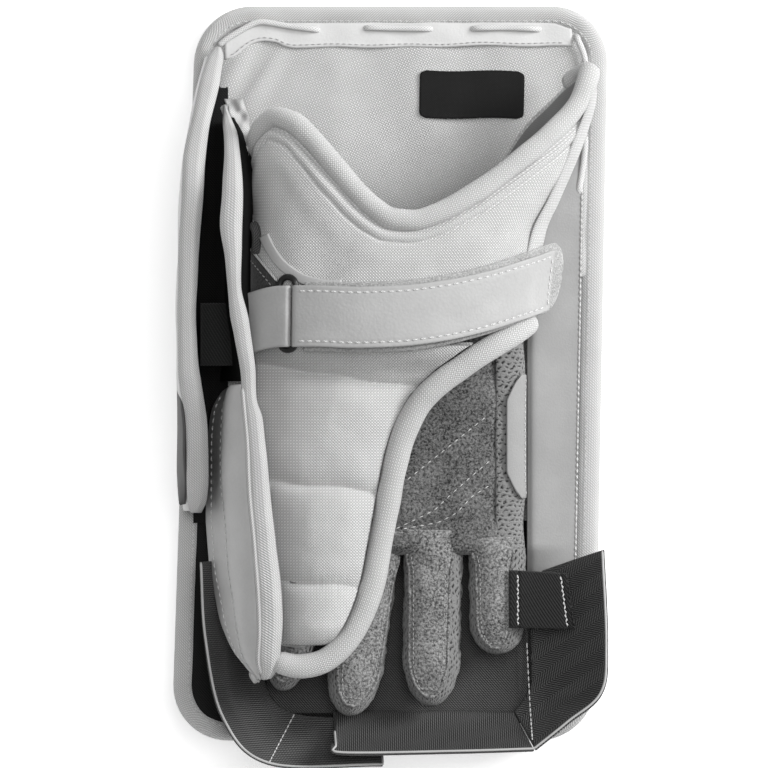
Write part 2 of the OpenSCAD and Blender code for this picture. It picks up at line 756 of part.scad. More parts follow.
face_cover();
stiffener_sheet();
board_foam();
back_liner();
edge_band();
lace_tape();
top_lace();
side_lace();
size_label();
side_pad_foam();
side_leather_panel();
hand_pad();
back_mesh();
palm_suede();
side_gusset();
trim_tab();
cuff_shell();
cuff_foam();
cuff_lining();
cuff_roll();
cuff_side_strip();
cuff_skirt();
skirt_roll();
strap_tab();
strap_anchor();
loop_strap();
felt_patch();
side_panel_foam();
side_panel_cover();
side_panel_lining();
side_panel_patch();
side_panel_band();
inner_wall_foam();
inner_wall_cover();
inner_wall_lining();
inner_wall_band();
tray_floor();
tray_right_wall();
tray_front_wall();
tray_left_wall();
tray_piping();
finger_elastic();
thumb_plate_foam();
thumb_plate_cover();
thumb_band();
thumb_quilt();
thumb_roll();
thumb_stall();
strap_ring();
strap_leather();
hook_patch();
index_stall();
index_face();
middle_stall();
middle_face();
ring_stall();
ring_face();
little_stall();
little_face();
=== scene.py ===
"""Looks of the ice-hockey goalie blocker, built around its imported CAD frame."""
import math

import bmesh
import bpy
import numpy as np
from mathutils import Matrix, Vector, noise


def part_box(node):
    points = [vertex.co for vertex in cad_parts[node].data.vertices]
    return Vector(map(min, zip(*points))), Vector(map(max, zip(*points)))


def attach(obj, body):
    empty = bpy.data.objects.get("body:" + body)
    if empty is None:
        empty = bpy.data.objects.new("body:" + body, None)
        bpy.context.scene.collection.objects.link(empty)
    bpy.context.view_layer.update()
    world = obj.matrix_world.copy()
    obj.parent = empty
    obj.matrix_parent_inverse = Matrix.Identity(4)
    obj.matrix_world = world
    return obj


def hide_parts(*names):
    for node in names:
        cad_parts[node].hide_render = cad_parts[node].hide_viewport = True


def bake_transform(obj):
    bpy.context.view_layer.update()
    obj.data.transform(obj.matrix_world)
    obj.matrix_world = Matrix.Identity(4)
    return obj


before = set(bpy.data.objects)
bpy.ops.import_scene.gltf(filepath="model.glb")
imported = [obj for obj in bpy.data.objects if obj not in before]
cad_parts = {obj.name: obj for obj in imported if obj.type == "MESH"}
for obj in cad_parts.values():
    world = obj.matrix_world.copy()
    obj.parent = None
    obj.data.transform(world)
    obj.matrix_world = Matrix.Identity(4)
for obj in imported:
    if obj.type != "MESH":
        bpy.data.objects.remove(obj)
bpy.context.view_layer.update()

MM = 0.001


def box_mm(node):
    """A CAD node's lowest and highest corners, in millimetres."""
    low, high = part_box(node)
    return np.array(low) / MM, np.array(high) / MM


# ---- Numbers shared with the CAD model, in millimetres ----

BOARD_W, BOARD_H, BOARD_CORNER = 176.0, 309.0, 24.0
BOARD_LEAN, BOARD_SPREAD, BOARD_X = 0.0255, 0.000085, 1.0
BOARD_Y = float(np.mean([box_mm("edge_band")[k][1] for k in (0, 1)]))
LIP_Z = float(box_mm("edge_band")[1][2])
BACK_Z = float(box_mm("back_liner")[1][2])
CUFF_Z, CUFF_RZ, CUFF_T = 52.0, 32.0, 7.0
CUFF_LEFT_X = float(box_mm("cuff_shell")[0][0])
CUFF_FROM, CUFF_TO = -54.0, 214.0
CUFF_ROLL_R = 4.3
THUMB_ROLL_R = 4.7
STRAP_W, STRAP_LOW = 25.8, 4.3
LEAVE_ANGLE, MM_PER_DEGREE = 25.0, 0.656
PALM_FOOT = float(box_mm("palm_suede")[0][1])
PALM_RIGHT = float(box_mm("palm_suede")[1][0])
PALM_Z = float(box_mm("palm_suede")[0][2])
PALM_LEFT, PALM_ARCH = -40.0, 2.2
FINGER_JOINT_Y = -68.6
TRAY_FOOT_Z = 25.6
FACE_SEAMS, FACE_SEAM_BOW = (88, 30, -42, -98), 10


# ---- Curves and tables ----

def mix(a, b, t):
    return a + (b - a) * t


def table(pairs):
    """A smooth lookup through pairs, which never swings past its points."""
    xs, ys = (np.array(v, float) for v in zip(*sorted(pairs)))
    d = np.diff(ys) / np.diff(xs)
    slope = np.concatenate([[d[0]], [
        0.0 if a * b <= 0 else 2 * a * b / (a + b) for a, b in zip(d[:-1], d[1:])
    ], [d[-1]]])

    def value(x):
        x = np.clip(np.asarray(x, float), xs[0], xs[-1])
        i = np.clip(np.searchsorted(xs, x, "right") - 1, 0, len(xs) - 2)
        h = xs[i + 1] - xs[i]
        t = (x - xs[i]) / h
        return ((2 * t**3 - 3 * t**2 + 1) * ys[i] + (t**3 - 2 * t**2 + t) * h * slope[i]
                + (3 * t**2 - 2 * t**3) * ys[i + 1] + (t**3 - t**2) * h * slope[i + 1])

    return value


def smooth(points, n):
    """A smooth curve through given points, n steps in each span."""
    p = np.array(points, float)
    p = np.vstack([2 * p[0] - p[1], p, 2 * p[-1] - p[-2]])
    out = []
    for a, b, c, d in zip(p[:-3], p[1:-2], p[2:-1], p[3:]):
        for t in np.arange(n) / n:
            out.append(0.5 * (2 * b + (c - a) * t + (2 * a - 5 * b + 4 * c - d) * t**2
                              + (3 * b - a - 3 * c + d) * t**3))
    return np.array(out + [p[-2]])


def run_along(path):
    """Distance from a path's start to each of its points."""
    return np.concatenate([[0], np.cumsum(np.linalg.norm(np.diff(path, axis=0), axis=1))])


def even(path, step):
    """The same path with points about step apart."""
    path = np.asarray(path, float)
    along = run_along(path)
    at = np.linspace(0, along[-1], max(2, int(along[-1] / step) + 1))
    return np.stack([np.interp(at, along, path[:, k]) for k in range(3)], axis=1)


def bump_at(x, middle, width):
    return np.exp(-((x - middle) / width) ** 2)


def rough(points, size, amount, seed=0.0):
    """Soft unevenness: a smooth noise value for each point, in millimetres."""
    flat = np.reshape(points, (-1, 3)) / size
    values = [noise.noise(Vector((x + seed, y - seed, z + 2 * seed))) for x, y, z in flat]
    return amount * np.array(values).reshape(np.shape(points)[:-1])


# ---- Mesh makers ----

def make_piece(name, points, faces, uvs, material):
    """One mesh object from millimetre points; uvs holds a pair for each point, in millimetres."""
    mesh = bpy.data.meshes.new(name)
    mesh.from_pydata((np.asarray(points) * MM).tolist(), [], faces)
    layer = mesh.uv_layers.new(name="grain")
    for loop in mesh.loops:
        layer.data[loop.index].uv = uvs[loop.vertex_index]
    bm = bmesh.new()
    bm.from_mesh(mesh)
    bmesh.ops.remove_doubles(bm, verts=bm.verts, dist=1e-7)
    bmesh.ops.recalc_face_normals(bm, faces=bm.faces)
    bm.to_mesh(mesh)
    bm.free()
    mesh.polygons.foreach_set("use_smooth", [True] * len(mesh.polygons))
    mesh.materials.append(material)
    piece = bpy.data.objects.new(name, mesh)
    bpy.context.scene.collection.objects.link(piece)
    return piece


def grain_of(grid):
    """Distances along a grid's middle column and middle row, for every point."""
    n, m = grid.shape[:2]
    u = run_along(grid[:, m // 2])
    v = run_along(grid[n // 2])
    return np.stack(np.meshgrid(u, v, indexing="ij"), axis=-1)


def turned(grain, degrees):
    """Grain coordinates turned by an angle, for cloth cut on the bias."""
    c, s = math.cos(math.radians(degrees)), math.sin(math.radians(degrees))
    return np.stack([grain[..., 0] * c - grain[..., 1] * s, grain[..., 0] * s + grain[..., 1] * c], axis=-1)


def grid_faces(n, m, at=0):
    return [(at + i * m + j, at + i * m + j + 1, at + (i + 1) * m + j + 1, at + (i + 1) * m + j)
            for i in range(n - 1) for j in range(m - 1)]


def normals_of(grid):
    a, b = np.gradient(grid, axis=0), np.gradient(grid, axis=1)
    c = np.cross(a, b)
    return c / np.maximum(np.linalg.norm(c, axis=-1, keepdims=True), 1e-9)


def facing_out(grid):
    """1 if the grid's own normal points up at its middle, else -1."""
    middle = normals_of(grid)[grid.shape[0] // 2, grid.shape[1] // 2]
    return 1 if middle[2] > 0 else -1


def panel(name, grid, thick, material, up=1, round_edge=0.5, grain=None):
    """A closed panel: the grid is its shown face, and thick lies behind it, with rounded edges.

    up says which way the shown face looks: 1 along the grid's own normal, -1 against it.
    """
    grid = np.asarray(grid, float)
    grain = grain_of(grid) if grain is None else grain
    n, m = grid.shape[:2]
    out = normals_of(grid) * up
    r = min(round_edge, thick / 2)

    def pulled(g, by):
        """The grid with its outermost rows and columns moved inwards."""
        g = g.copy()
        for edge, inner in ((0, 1), (-1, -2)):
            d = g[edge] - g[inner]
            g[edge] -= by * d / np.maximum(np.linalg.norm(d, axis=-1, keepdims=True), 1e-9)
            d = g[:, edge] - g[:, inner]
            g[:, edge] -= by * d / np.maximum(np.linalg.norm(d, axis=-1, keepdims=True), 1e-9)
        return g

    layers = [pulled(grid, r), grid - out * r, grid - out * (thick - r), pulled(grid, r) - out * thick]
    points, faces, uvs = [], [], []
    border = ([(i, 0) for i in range(n)] + [(n - 1, j) for j in range(1, m)]
              + [(i, m - 1) for i in range(n - 2, -1, -1)] + [(0, j) for j in range(m - 2, 0, -1)])
    for k in (0, 3):
        faces += grid_faces(n, m, len(points))
        points += layers[k].reshape(-1, 3).tolist()
        uvs += grain.reshape(-1, 2).tolist()
    first = [[i * m + j for i, j in border]]
    for k in (1, 2):
        first.append(list(range(len(points), len(points) + len(border))))
        points += [layers[k][i, j] for i, j in border]
        uvs += [grain[i, j] + (0.7 * k, 0.7 * k) for i, j in border]
    first.append([n * m + i * m + j for i, j in border])
    count = len(border)
    for a, b in zip(first[:-1], first[1:]):
        faces += [(a[i], a[(i + 1) % count], b[(i + 1) % count], b[i]) for i in range(count)]
    return make_piece(name, points, faces, uvs, material)


def frames_along(path):
    """Sideways and upward directions along a path."""
    t = np.gradient(path, axis=0)
    t /= np.linalg.norm(t, axis=1, keepdims=True)
    side = np.cross(t, (0.0, 0.0, 1.0))
    side /= np.linalg.norm(side, axis=1, keepdims=True)
    return side, np.cross(side, t)


def tube(name, path, radius, material, sides=16, flat=1.0, turn=0.0):
    """A round cord or roll; radius is a number or one value for each point of the path."""
    path = np.asarray(path, float)
    n = len(path)
    radius = np.broadcast_to(np.asarray(radius, float), (n,)).copy()
    along = run_along(path)
    for d in (along, along[-1] - along):
        near = np.clip(d / (radius + 1e-9), 0.02, 1)
        radius = radius * np.sqrt(1 - (1 - near) ** 2)
    side, over = frames_along(path)
    angles = np.linspace(0, 2 * math.pi, sides + 1)
    grid = (path[:, None] + radius[:, None, None] * (side[:, None] * np.cos(angles)[None, :, None]
            + flat * over[:, None] * np.sin(angles)[None, :, None]))
    grain = np.stack(np.meshgrid(along, angles * radius.max(), indexing="ij"), axis=-1)
    grain = turned(grain, turn)
    points, uvs = grid.reshape(-1, 3).tolist(), grain.reshape(-1, 2).tolist()
    faces = grid_faces(n, sides + 1)
    for at, centre in ((0, path[0]), ((n - 1) * (sides + 1), path[-1])):
        points.append(centre)
        uvs.append(uvs[at])
        faces += [(at + k, at + k + 1, len(points) - 1) for k in range(sides)]
    return make_piece(name, points, faces, uvs, material)


def stitches(name, path, up, material, pitch=3.0, length=2.1, r=0.33, lift=0.12):
    """Short arched thread stitches along a path; up is a direction or one for each point."""
    path = np.asarray(path, float)
    up = np.broadcast_to(np.asarray(up, float), path.shape)
    along = run_along(path)
    points, faces, uvs = [], [], []
    rings, sides = 5, 6
    for start in np.arange(0.2, along[-1] - length, pitch):
        at = start + np.linspace(0, length, rings)
        p = np.stack([np.interp(at, along, path[:, k]) for k in range(3)], axis=1)
        u = np.stack([np.interp(at, along, up[:, k]) for k in range(3)], axis=1)
        u /= np.linalg.norm(u, axis=1, keepdims=True)
        t = p[-1] - p[0]
        t /= np.linalg.norm(t)
        side = np.cross(np.broadcast_to(t, u.shape), u)
        side /= np.linalg.norm(side, axis=1, keepdims=True)
        arch = np.sin(np.linspace(0.12, math.pi - 0.12, rings))
        p = p + u * (arch * (lift + 0.5 * r) - 0.3 * r)[:, None]
        size = r * (0.35 + 0.65 * arch)
        base = len(points)
        for i in range(rings):
            for k in range(sides):
                a = 2 * math.pi * k / sides
                points.append(p[i] + size[i] * (side[i] * math.cos(a) + u[i] * math.sin(a)))
                uvs.append((at[i], a * r))
        for i in range(rings - 1):
            for k in range(sides):
                a, b = base + i * sides + k, base + i * sides + (k + 1) % sides
                faces.append((a, b, b + sides, a + sides))
        faces.append(tuple(base + k for k in range(sides)))
        faces.append(tuple(base + (rings - 1) * sides + k for k in reversed(range(sides))))
    return make_piece(name, points, faces, uvs, material)


def settle(piece, body="root", replaces=(), across=None):
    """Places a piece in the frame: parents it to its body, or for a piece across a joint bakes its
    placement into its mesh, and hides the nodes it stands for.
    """
    if across:
        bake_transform(piece)
    else:
        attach(piece, body)
    if replaces:
        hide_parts(*replaces)
    return piece


def sew(name, path, up, material=None, body="root", across=None, **sizes):
    """A row of stitches in its place on a body or across a joint."""
    row = stitches(name, path, up, material or THREAD, **sizes)
    return settle(row, body, across=across)


# ---- Materials ----

class Nodes:
    """A short way to wire a material's nodes."""

    def __init__(self, name, colour, roughness, sheen=0.0, specular=0.3, coat=0.0):
        self.material = bpy.data.materials.new(name)
        self.material.use_nodes = True
        self.tree = self.material.node_tree
        self.shader = self.tree.nodes["Principled BSDF"]
        inputs = self.shader.inputs
        inputs["Base Color"].default_value = (*colour, 1)
        inputs["Roughness"].default_value = roughness
        inputs["Specular IOR Level"].default_value = specular
        inputs["Sheen Weight"].default_value = sheen
        inputs["Sheen Roughness"].default_value = 0.5
        inputs["Coat Weight"].default_value = coat
        self.material.diffuse_color = (*colour, 1)

    def add(self, kind, **inputs):
        node = self.tree.nodes.new("ShaderNode" + kind)
        for key, value in inputs.items():
            self.wire(value, node.inputs[key.replace("_", " ")])
        return node

    def wire(self, value, socket):
        if isinstance(value, bpy.types.NodeSocket):
            self.tree.links.new(value, socket)
        else:
            socket.default_value = value

    def math(self, operation, a, b=0.0, c=0.0):
        node = self.tree.nodes.new("ShaderNodeMath")
        node.operation = operation
        for socket, value in zip(node.inputs, (a, b, c)):
            self.wire(value, socket)
        return node.outputs[0]

    def grain(self):
        """The piece's own millimetre grain: distance along it, and across it."""
        node = self.tree.nodes.new("ShaderNodeUVMap")
        node.uv_map = "grain"
        parts = self.add("SeparateXYZ", Vector=node.outputs[0])
        return parts.outputs[0], parts.outputs[1]

    def place(self):
        return self.tree.nodes.new("ShaderNodeTexCoord").outputs["Object"]

    def noise(self, size, detail=2.0, vector=None, rough=0.5):
        """Noise whose blotches are about size millimetres across."""
        node = self.add("TexNoise", Scale=1 / (size * MM), Detail=detail, Roughness=rough)
        self.wire(vector if vector is not None else self.place(), node.inputs["Vector"])
        return node.outputs[0]

    def ramp(self, value, dark, light, low=0.0, high=1.0):
        """A grey-to-grey colour from a value between low and high."""
        node = self.tree.nodes.new("ShaderNodeValToRGB")
        node.color_ramp.elements[0].position = low
        node.color_ramp.elements[1].position = high
        node.color_ramp.elements[0].color = (*dark, 1)
        node.color_ramp.elements[1].color = (*light, 1)
        self.wire(value, node.inputs[0])
        return node.outputs[0]

    def colour(self, socket):
        self.tree.links.new(socket, self.shader.inputs["Base Color"])

    def roughness(self, socket):
        self.tree.links.new(socket, self.shader.inputs["Roughness"])

    def bump(self, height, distance, strength=1.0):
        """Relief of the given depth in millimetres."""
        node = self.add("Bump", Height=height, Distance=distance * MM, Strength=strength)
        self.tree.links.new(node.outputs[0], self.shader.inputs["Normal"])


def grey(v):
    return (v, v, v * 0.995)


def plain_weave(n, pitch):
    """Height of an over-and-under weave."""
    u, v = n.grain()
    a, b = n.math("DIVIDE", u, pitch), n.math("DIVIDE", v, pitch)
    sa = n.math("SINE", n.math("MULTIPLY", n.math("FRACT", a), math.pi))
    sb = n.math("SINE", n.math("MULTIPLY", n.math("FRACT", b), math.pi))
    over = n.math("MODULO", n.math("ABSOLUTE", n.math("ADD", n.math("FLOOR", a), n.math("FLOOR", b))), 2.0)
    warp = n.math("MULTIPLY", sa, n.math("MULTIPLY_ADD", sb, 0.55, 0.45))
    weft = n.math("MULTIPLY", sb, n.math("MULTIPLY_ADD", sa, 0.25, 0.25))
    part = n.math("MULTIPLY", warp, over)
    return n.math("MULTIPLY_ADD", weft, n.math("SUBTRACT", 1.0, over), part)


def twill_ribs(n, pitch, slope, turn=0.0):
    """Height of slanting ribs; with turn, their slant reverses every turn millimetres, as herringbone."""
    u, v = n.grain()
    across = n.math("PINGPONG", v, turn) if turn else v
    run = n.math("DIVIDE", n.math("MULTIPLY_ADD", across, slope, u), pitch)
    rib = n.math("SINE", n.math("MULTIPLY", n.math("FRACT", run), math.pi))
    cross = n.math("SINE", n.math("MULTIPLY", n.math("FRACT", n.math("DIVIDE", v, pitch * 0.8)), math.pi))
    return n.math("MULTIPLY", rib, n.math("MULTIPLY_ADD", cross, 0.45, 0.55))


def woven(name, shade, height_of, depth, contrast=0.16, rough=0.75, sheen=0.15, soil=0.06):
    """A woven cloth: threads lighter on top and darker between, a painted highlight and painted shade on
    the weave, with faint blotches.
    """
    n = Nodes(name, grey(shade), rough, sheen=sheen, specular=0.25)
    height = height_of(n)
    blotch = n.noise(9.0, 3.0)
    # painted shade: colour follows thread height, darker in the gaps between threads; the blotch term is
    # uneven soiling
    base = n.math("MULTIPLY_ADD", height, contrast, n.math("MULTIPLY_ADD", blotch, soil, -soil * 0.5))
    n.colour(n.ramp(base, grey(shade * (1 - contrast * 1.6)), grey(min(1, shade * 1.06)), -0.02, contrast))
    n.bump(height, depth)
    return n.material


def leather(name, shade, pebble, depth, rough=0.5, vary=0.05):
    """Synthetic leather: fine pebbles, slight shade changes and uneven gloss."""
    n = Nodes(name, grey(shade), rough, specular=0.4)
    cells = n.tree.nodes.new("ShaderNodeTexVoronoi")
    cells.feature = "SMOOTH_F1"
    n.wire(n.place(), cells.inputs["Vector"])
    cells.inputs["Scale"].default_value = 1 / (pebble * MM)
    fine = n.noise(pebble * 0.6, 4.0)
    height = n.math("MULTIPLY_ADD", fine, 0.5, cells.outputs["Distance"])
    tone = n.math("MULTIPLY_ADD", cells.outputs["Distance"], -0.25, n.noise(14.0, 3.0))
    n.colour(n.ramp(tone, grey(shade * (1 - vary)), grey(min(1, shade * (1 + vary))), 0.25, 0.6))
    n.roughness(n.math("MULTIPLY_ADD", fine, 0.18, rough - 0.09))
    n.bump(height, depth)
    return n.material


def napped(name, dark, light, grain_size, depth, sheen=0.35):
    """Suede, felt or loop pile: speckled nap with soft, wandering shade."""
    n = Nodes(name, grey((dark + light) / 2), 0.95, sheen=sheen, specular=0.1)
    speck = n.noise(grain_size, 2.0, rough=0.8)
    cloud = n.noise(grain_size * 16, 3.0)
    tone = n.math("MULTIPLY_ADD", cloud, 0.25, speck)
    n.colour(n.ramp(tone, grey(dark), grey(light), 0.46, 0.80))
    n.bump(speck, depth)
    return n.material


def knit(name, dark, light):
    """Open knit mesh: staggered rows of loops with dark holes between, and fuzz."""
    n = Nodes(name, grey(light), 0.95, sheen=0.3, specular=0.1)
    u, v = n.grain()
    wander = n.math("MULTIPLY_ADD", n.noise(3.0, 3.0), 4.4, -2.2)
    a = n.math("DIVIDE", n.math("ADD", v, wander), 2.0)
    odd = n.math("MODULO", n.math("ABSOLUTE", n.math("FLOOR", a)), 2.0)
    b = n.math("MULTIPLY_ADD", odd, 0.5, n.math("DIVIDE", n.math("ADD", u, wander), 2.9))
    x = n.math("SUBTRACT", n.math("FRACT", a), 0.5)
    y = n.math("SUBTRACT", n.math("FRACT", b), 0.5)
    far = n.math("SQRT", n.math("ADD", n.math("MULTIPLY", n.math("MULTIPLY", x, x), 3.2),
                                n.math("MULTIPLY", n.math("MULTIPLY", y, y), 1.5)))
    hole = n.math("MULTIPLY_ADD", n.noise(0.7, 3.0, rough=0.8), 0.55, far)
    n.colour(n.ramp(hole, grey(dark), grey(light), 0.42, 0.78))
    n.bump(hole, 0.5)
    return n.material


def ribbed(name, shade, pitch, depth):
    """Elastic webbing: narrow slanting ribs with a fine thread texture; the colour paints highlights on the
    rib tops and shade in the grooves.
    """
    n = Nodes(name, grey(shade), 0.7, sheen=0.1, specular=0.3)
    u, v = n.grain()
    run = n.math("DIVIDE", n.math("MULTIPLY_ADD", v, 0.6, u), pitch)
    rib = n.math("SINE", n.math("MULTIPLY", n.math("FRACT", run), math.pi))
    thread = n.math("SINE", n.math("MULTIPLY", n.math("DIVIDE", v, 0.5), math.pi))
    height = n.math("MULTIPLY_ADD", n.math("ABSOLUTE", thread), 0.25, rib)
    # painted light: colour follows rib height, so the rib tops carry a painted highlight and the grooves
    # painted shade
    n.colour(n.ramp(height, grey(shade * 0.4), grey(shade * 2.4), 0.3, 1.2))
    n.bump(height, depth)
    return n.material


def braid(name, shade):
    """Braided cord: crossing strands round its length, with painted shade in the gaps between strands."""
    n = Nodes(name, grey(shade), 0.8, sheen=0.1, specular=0.2)
    u, v = n.grain()
    one = n.math("ABSOLUTE", n.math("SINE", n.math("MULTIPLY", n.math("ADD", u, v), 2.6)))
    two = n.math("ABSOLUTE", n.math("SINE", n.math("MULTIPLY", n.math("SUBTRACT", u, v), 2.6)))
    height = n.math("MAXIMUM", one, two)
    # painted shade: colour follows strand height, darker where the strands dip between each other
    n.colour(n.ramp(height, grey(shade * 0.62), grey(shade * 1.03), 0.35, 0.95))
    n.bump(height, 0.35)
    return n.material


def foamed(name, shade):
    n = Nodes(name, grey(shade), 0.85, specular=0.2)
    cells = n.noise(0.9, 4.0, rough=0.7)
    n.colour(n.ramp(cells, grey(shade * 0.75), grey(shade * 1.15), 0.35, 0.65))
    n.bump(cells, 0.15)
    return n.material


def moulded(name, shade, rough=0.3):
    n = Nodes(name, grey(shade), rough, specular=0.5)
    scuff = n.noise(3.0, 6.0)
    n.roughness(n.math("MULTIPLY_ADD", scuff, 0.3, rough - 0.1))
    n.colour(n.ramp(scuff, grey(shade * 0.8), grey(shade * 1.3), 0.3, 0.7))
    n.bump(n.noise(0.6, 2.0), 0.03)
    return n.material


CLOTH = woven("white_cloth", 0.84, lambda n: plain_weave(n, 0.88), 0.40, contrast=0.28)
# the rolls are the same cloth as the cuff cover, set a shade darker: the difference is painted shade on the
# rolls
ROLL_CLOTH = woven("roll_cloth", 0.78, lambda n: plain_weave(n, 0.88), 0.34, contrast=0.26)
LINER_CLOTH = woven("liner_cloth", 0.78, lambda n: plain_weave(n, 0.9), 0.32, contrast=0.24)
TWILL = woven("white_twill", 0.76, lambda n: twill_ribs(n, 1.1, 0.9), 0.36, contrast=0.30)
HERRINGBONE = woven("binding_twill", 0.78, lambda n: twill_ribs(n, 1.15, 1.0), 0.36, contrast=0.30)
BLACK_TWILL = woven("black_twill", 0.13, lambda n: twill_ribs(n, 1.15, 0.9), 0.42,
                    contrast=0.75, rough=0.5, sheen=0.05, soil=0.1)
TRAY_CHEVRON = woven("black_chevron", 0.13, lambda n: twill_ribs(n, 1.25, 1.0, turn=5.2), 0.45,
                     contrast=0.75, rough=0.5, sheen=0.05, soil=0.1)
# Near-black cloth for the floor beside the tray and between the walls: partly black cloth, partly painted
# shade, far darker than the black twill
SHADE_FLOOR_CLOTH = woven("floor_cloth", 0.018, lambda n: twill_ribs(n, 1.15, 0.9), 0.42,
                    contrast=0.75, rough=0.6, sheen=0.0, soil=0.1)
BLACK_LINING = napped("black_lining", 0.002, 0.007, 0.8, 0.1, sheen=0.0)
GREY_LINING = woven("grey_lining", 0.24, lambda n: plain_weave(n, 0.35), 0.08, contrast=0.08, sheen=0.2)
WHITE_LEATHER = leather("white_leather", 0.68, 0.8, 0.07, rough=0.5, vary=0.04)
SIDE_LEATHER = leather("side_leather", 0.29, 0.8, 0.06, rough=0.5, vary=0.05)
PLATE_LEATHER = leather("plate_leather", 0.50, 0.8, 0.07, rough=0.5, vary=0.05)
GREY_LEATHER = leather("grey_leather", 0.31, 0.7, 0.08, rough=0.5, vary=0.05)
STRAP_LEATHER = leather("strap_leather", 0.45, 1.1, 0.09, rough=0.5, vary=0.05)
DARK_LEATHER = leather("dark_leather", 0.08, 0.6, 0.05, rough=0.55, vary=0.08)
SUEDE = napped("suede", 0.016, 0.24, 1.05, 0.34)
FINGER_SUEDE = napped("finger_suede", 0.040, 0.40, 1.05, 0.36)
FELT = napped("felt", 0.025, 0.08, 0.9, 0.2)
LOOP_PILE = napped("loop_pile", 0.26, 0.56, 0.7, 0.5, sheen=0.3)
KNIT = knit("knit_mesh", 0.015, 0.25)
ELASTIC = ribbed("elastic", 0.006, 1.3, 0.30)
BRAID = braid("braid", 0.80)
THREAD = braid("thread", 0.82)
DARK_THREAD = braid("grey_thread", 0.50)
PIPING = leather("piping", 0.50, 0.5, 0.05, rough=0.5)
LABEL = woven("label_cloth", 0.014, lambda n: plain_weave(n, 0.5), 0.1, contrast=0.5, rough=0.7, sheen=0.02)
RING = moulded("ring_plastic", 0.012)
HOOKS = napped("hook_pile", 0.01, 0.06, 0.8, 0.4)
FOAM = foamed("foam", 0.22)
SHEET_PLASTIC = moulded("stiffener", 0.6, 0.4)

NODE_MATERIALS = {
    "stiffener_sheet": SHEET_PLASTIC, "board_foam": FOAM, "hand_pad": FOAM, "back_mesh": BLACK_LINING,
    "side_pad_foam": FOAM, "cuff_foam": FOAM, "side_panel_foam": FOAM, "inner_wall_foam": FOAM,
    "thumb_plate_foam": FOAM, "strap_ring": RING, "thumb_stall": FINGER_SUEDE, "hook_patch": HOOKS,
}
for node_name, node_material in NODE_MATERIALS.items():
    node_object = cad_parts[node_name]
    for material_slot in node_object.material_slots:
        material_slot.material = node_material


# ---- Board ----

def board_middle(y):
    return BOARD_LEAN * y + BOARD_X


def outline(inset, corner_steps=14, side_step=4.0):
    """Points round the board, inset from its edge, with the same count for every inset."""
    r = BOARD_CORNER - inset
    hx, hy = BOARD_W / 2 - BOARD_CORNER, BOARD_H / 2 - BOARD_CORNER
    corners = [(hx, hy, 0), (-hx, hy, 90), (-hx, -hy, 180), (hx, -hy, 270)]
    points = []
    for k, (cx, cy, turn) in enumerate(corners):
        for a in np.radians(np.linspace(turn, turn + 90, corner_steps)):
            points.append((cx + r * math.cos(a), cy + r * math.sin(a)))
        nx, ny, next_turn = corners[(k + 1) % 4]
        a = math.radians(next_turn if next_turn else 360)
        goal = np.array([nx + r * math.cos(a), ny + r * math.sin(a)])
        here = np.array(points[-1])
        steps = int((2 * hx if k % 2 == 0 else 2 * hy) / side_step)
        points += [tuple(mix(here, goal, s / steps)) for s in range(1, steps)]
    p = np.array(points)
    y = p[:, 1] + BOARD_Y
    return np.stack([p[:, 0] * (1 - BOARD_SPREAD * y) + board_middle(y), y], axis=1)


def make_board():
    profile = [(8.6, BACK_Z + 0.2), (7.9, LIP_Z - 0.8), (7.0, LIP_Z - 0.1), (5.2, LIP_Z + 0.6),
               (3.0, LIP_Z + 0.6), (1.4, LIP_Z - 0.3), (0.3, LIP_Z - 2.0), (0.0, LIP_Z - 4.5),
               (0.0, 14), (0.0, 8), (0.1, 4.0), (0.6, 1.6), (1.6, 0.4), (3.2, 0.0), (4.5, 0.2), (4.8, 1.0)]
    rings = []
    for inset, z in profile:
        ring = outline(inset)
        right = (ring[:, 0] > 40) & (np.abs(ring[:, 1] - 20) < 118) & (z > BACK_Z)
        ring[:, 0] -= np.where(right, 0.2 * max(0, inset - 2.5), 0)
        rings.append(np.column_stack([ring, np.full(len(ring), z)]))
    grid = np.stack(rings, axis=1)
    corner = 1 + 1.3 * bump_at(grid[..., 1], 152, 18)
    wave = rough(grid, 16, 0.55, 3.0) + rough(grid, 5, 0.22, 8.0) * corner
    top = (grid[..., 2] > LIP_Z - 3) & (grid[..., 2] > BACK_Z + 0.5)
    grid[..., 2] += np.where(top, wave, 0)
    grid = np.concatenate([grid, grid[:1]], axis=0)
    band = make_piece("board_binding", grid.reshape(-1, 3), grid_faces(*grid.shape[:2]),
                      grain_of(grid).reshape(-1, 2).tolist(), HERRINGBONE)
    thicken(band, 0.9)
    settle(band, replaces=["edge_band"])

    seam = outline(6.4)
    seam = np.column_stack([seam, np.full(len(seam), LIP_Z + 0.25)])
    sew("board_binding_stitching", even(np.vstack([seam, seam[:1]]), 2.0), (0, 0, 1), pitch=3.1,
        length=2.2, r=0.28)

    # A second fold of the binding lies inside its right side, high up.
    ys = np.linspace(45, 128, 60)
    ring = outline(8.2)
    side = ring[ring[:, 0] > 40]
    side = side[np.argsort(side[:, 1])]
    xs = np.interp(ys, side[:, 1], side[:, 0]) - 1.1
    fold = np.column_stack([xs, ys, LIP_Z - 0.6 + 0.4 * np.sin(ys / 6)])
    settle(tube("binding_fold_right", even(fold, 1.5), 1.7, HERRINGBONE, sides=12, flat=0.7))
    make_liner()
    make_strike_face()


def thicken(piece, thick):
    """Gives a surface a thickness behind it, and applies it."""
    m = piece.modifiers.new("thick", "SOLIDIFY")
    m.thickness, m.offset, m.use_even_offset = thick * MM, -1.0, False
    apply_modifiers(piece)
    return piece


def apply_modifiers(piece):
    made = bpy.data.meshes.new_from_object(piece.evaluated_get(bpy.context.evaluated_depsgraph_get()))
    piece.modifiers.clear()
    piece.data = made


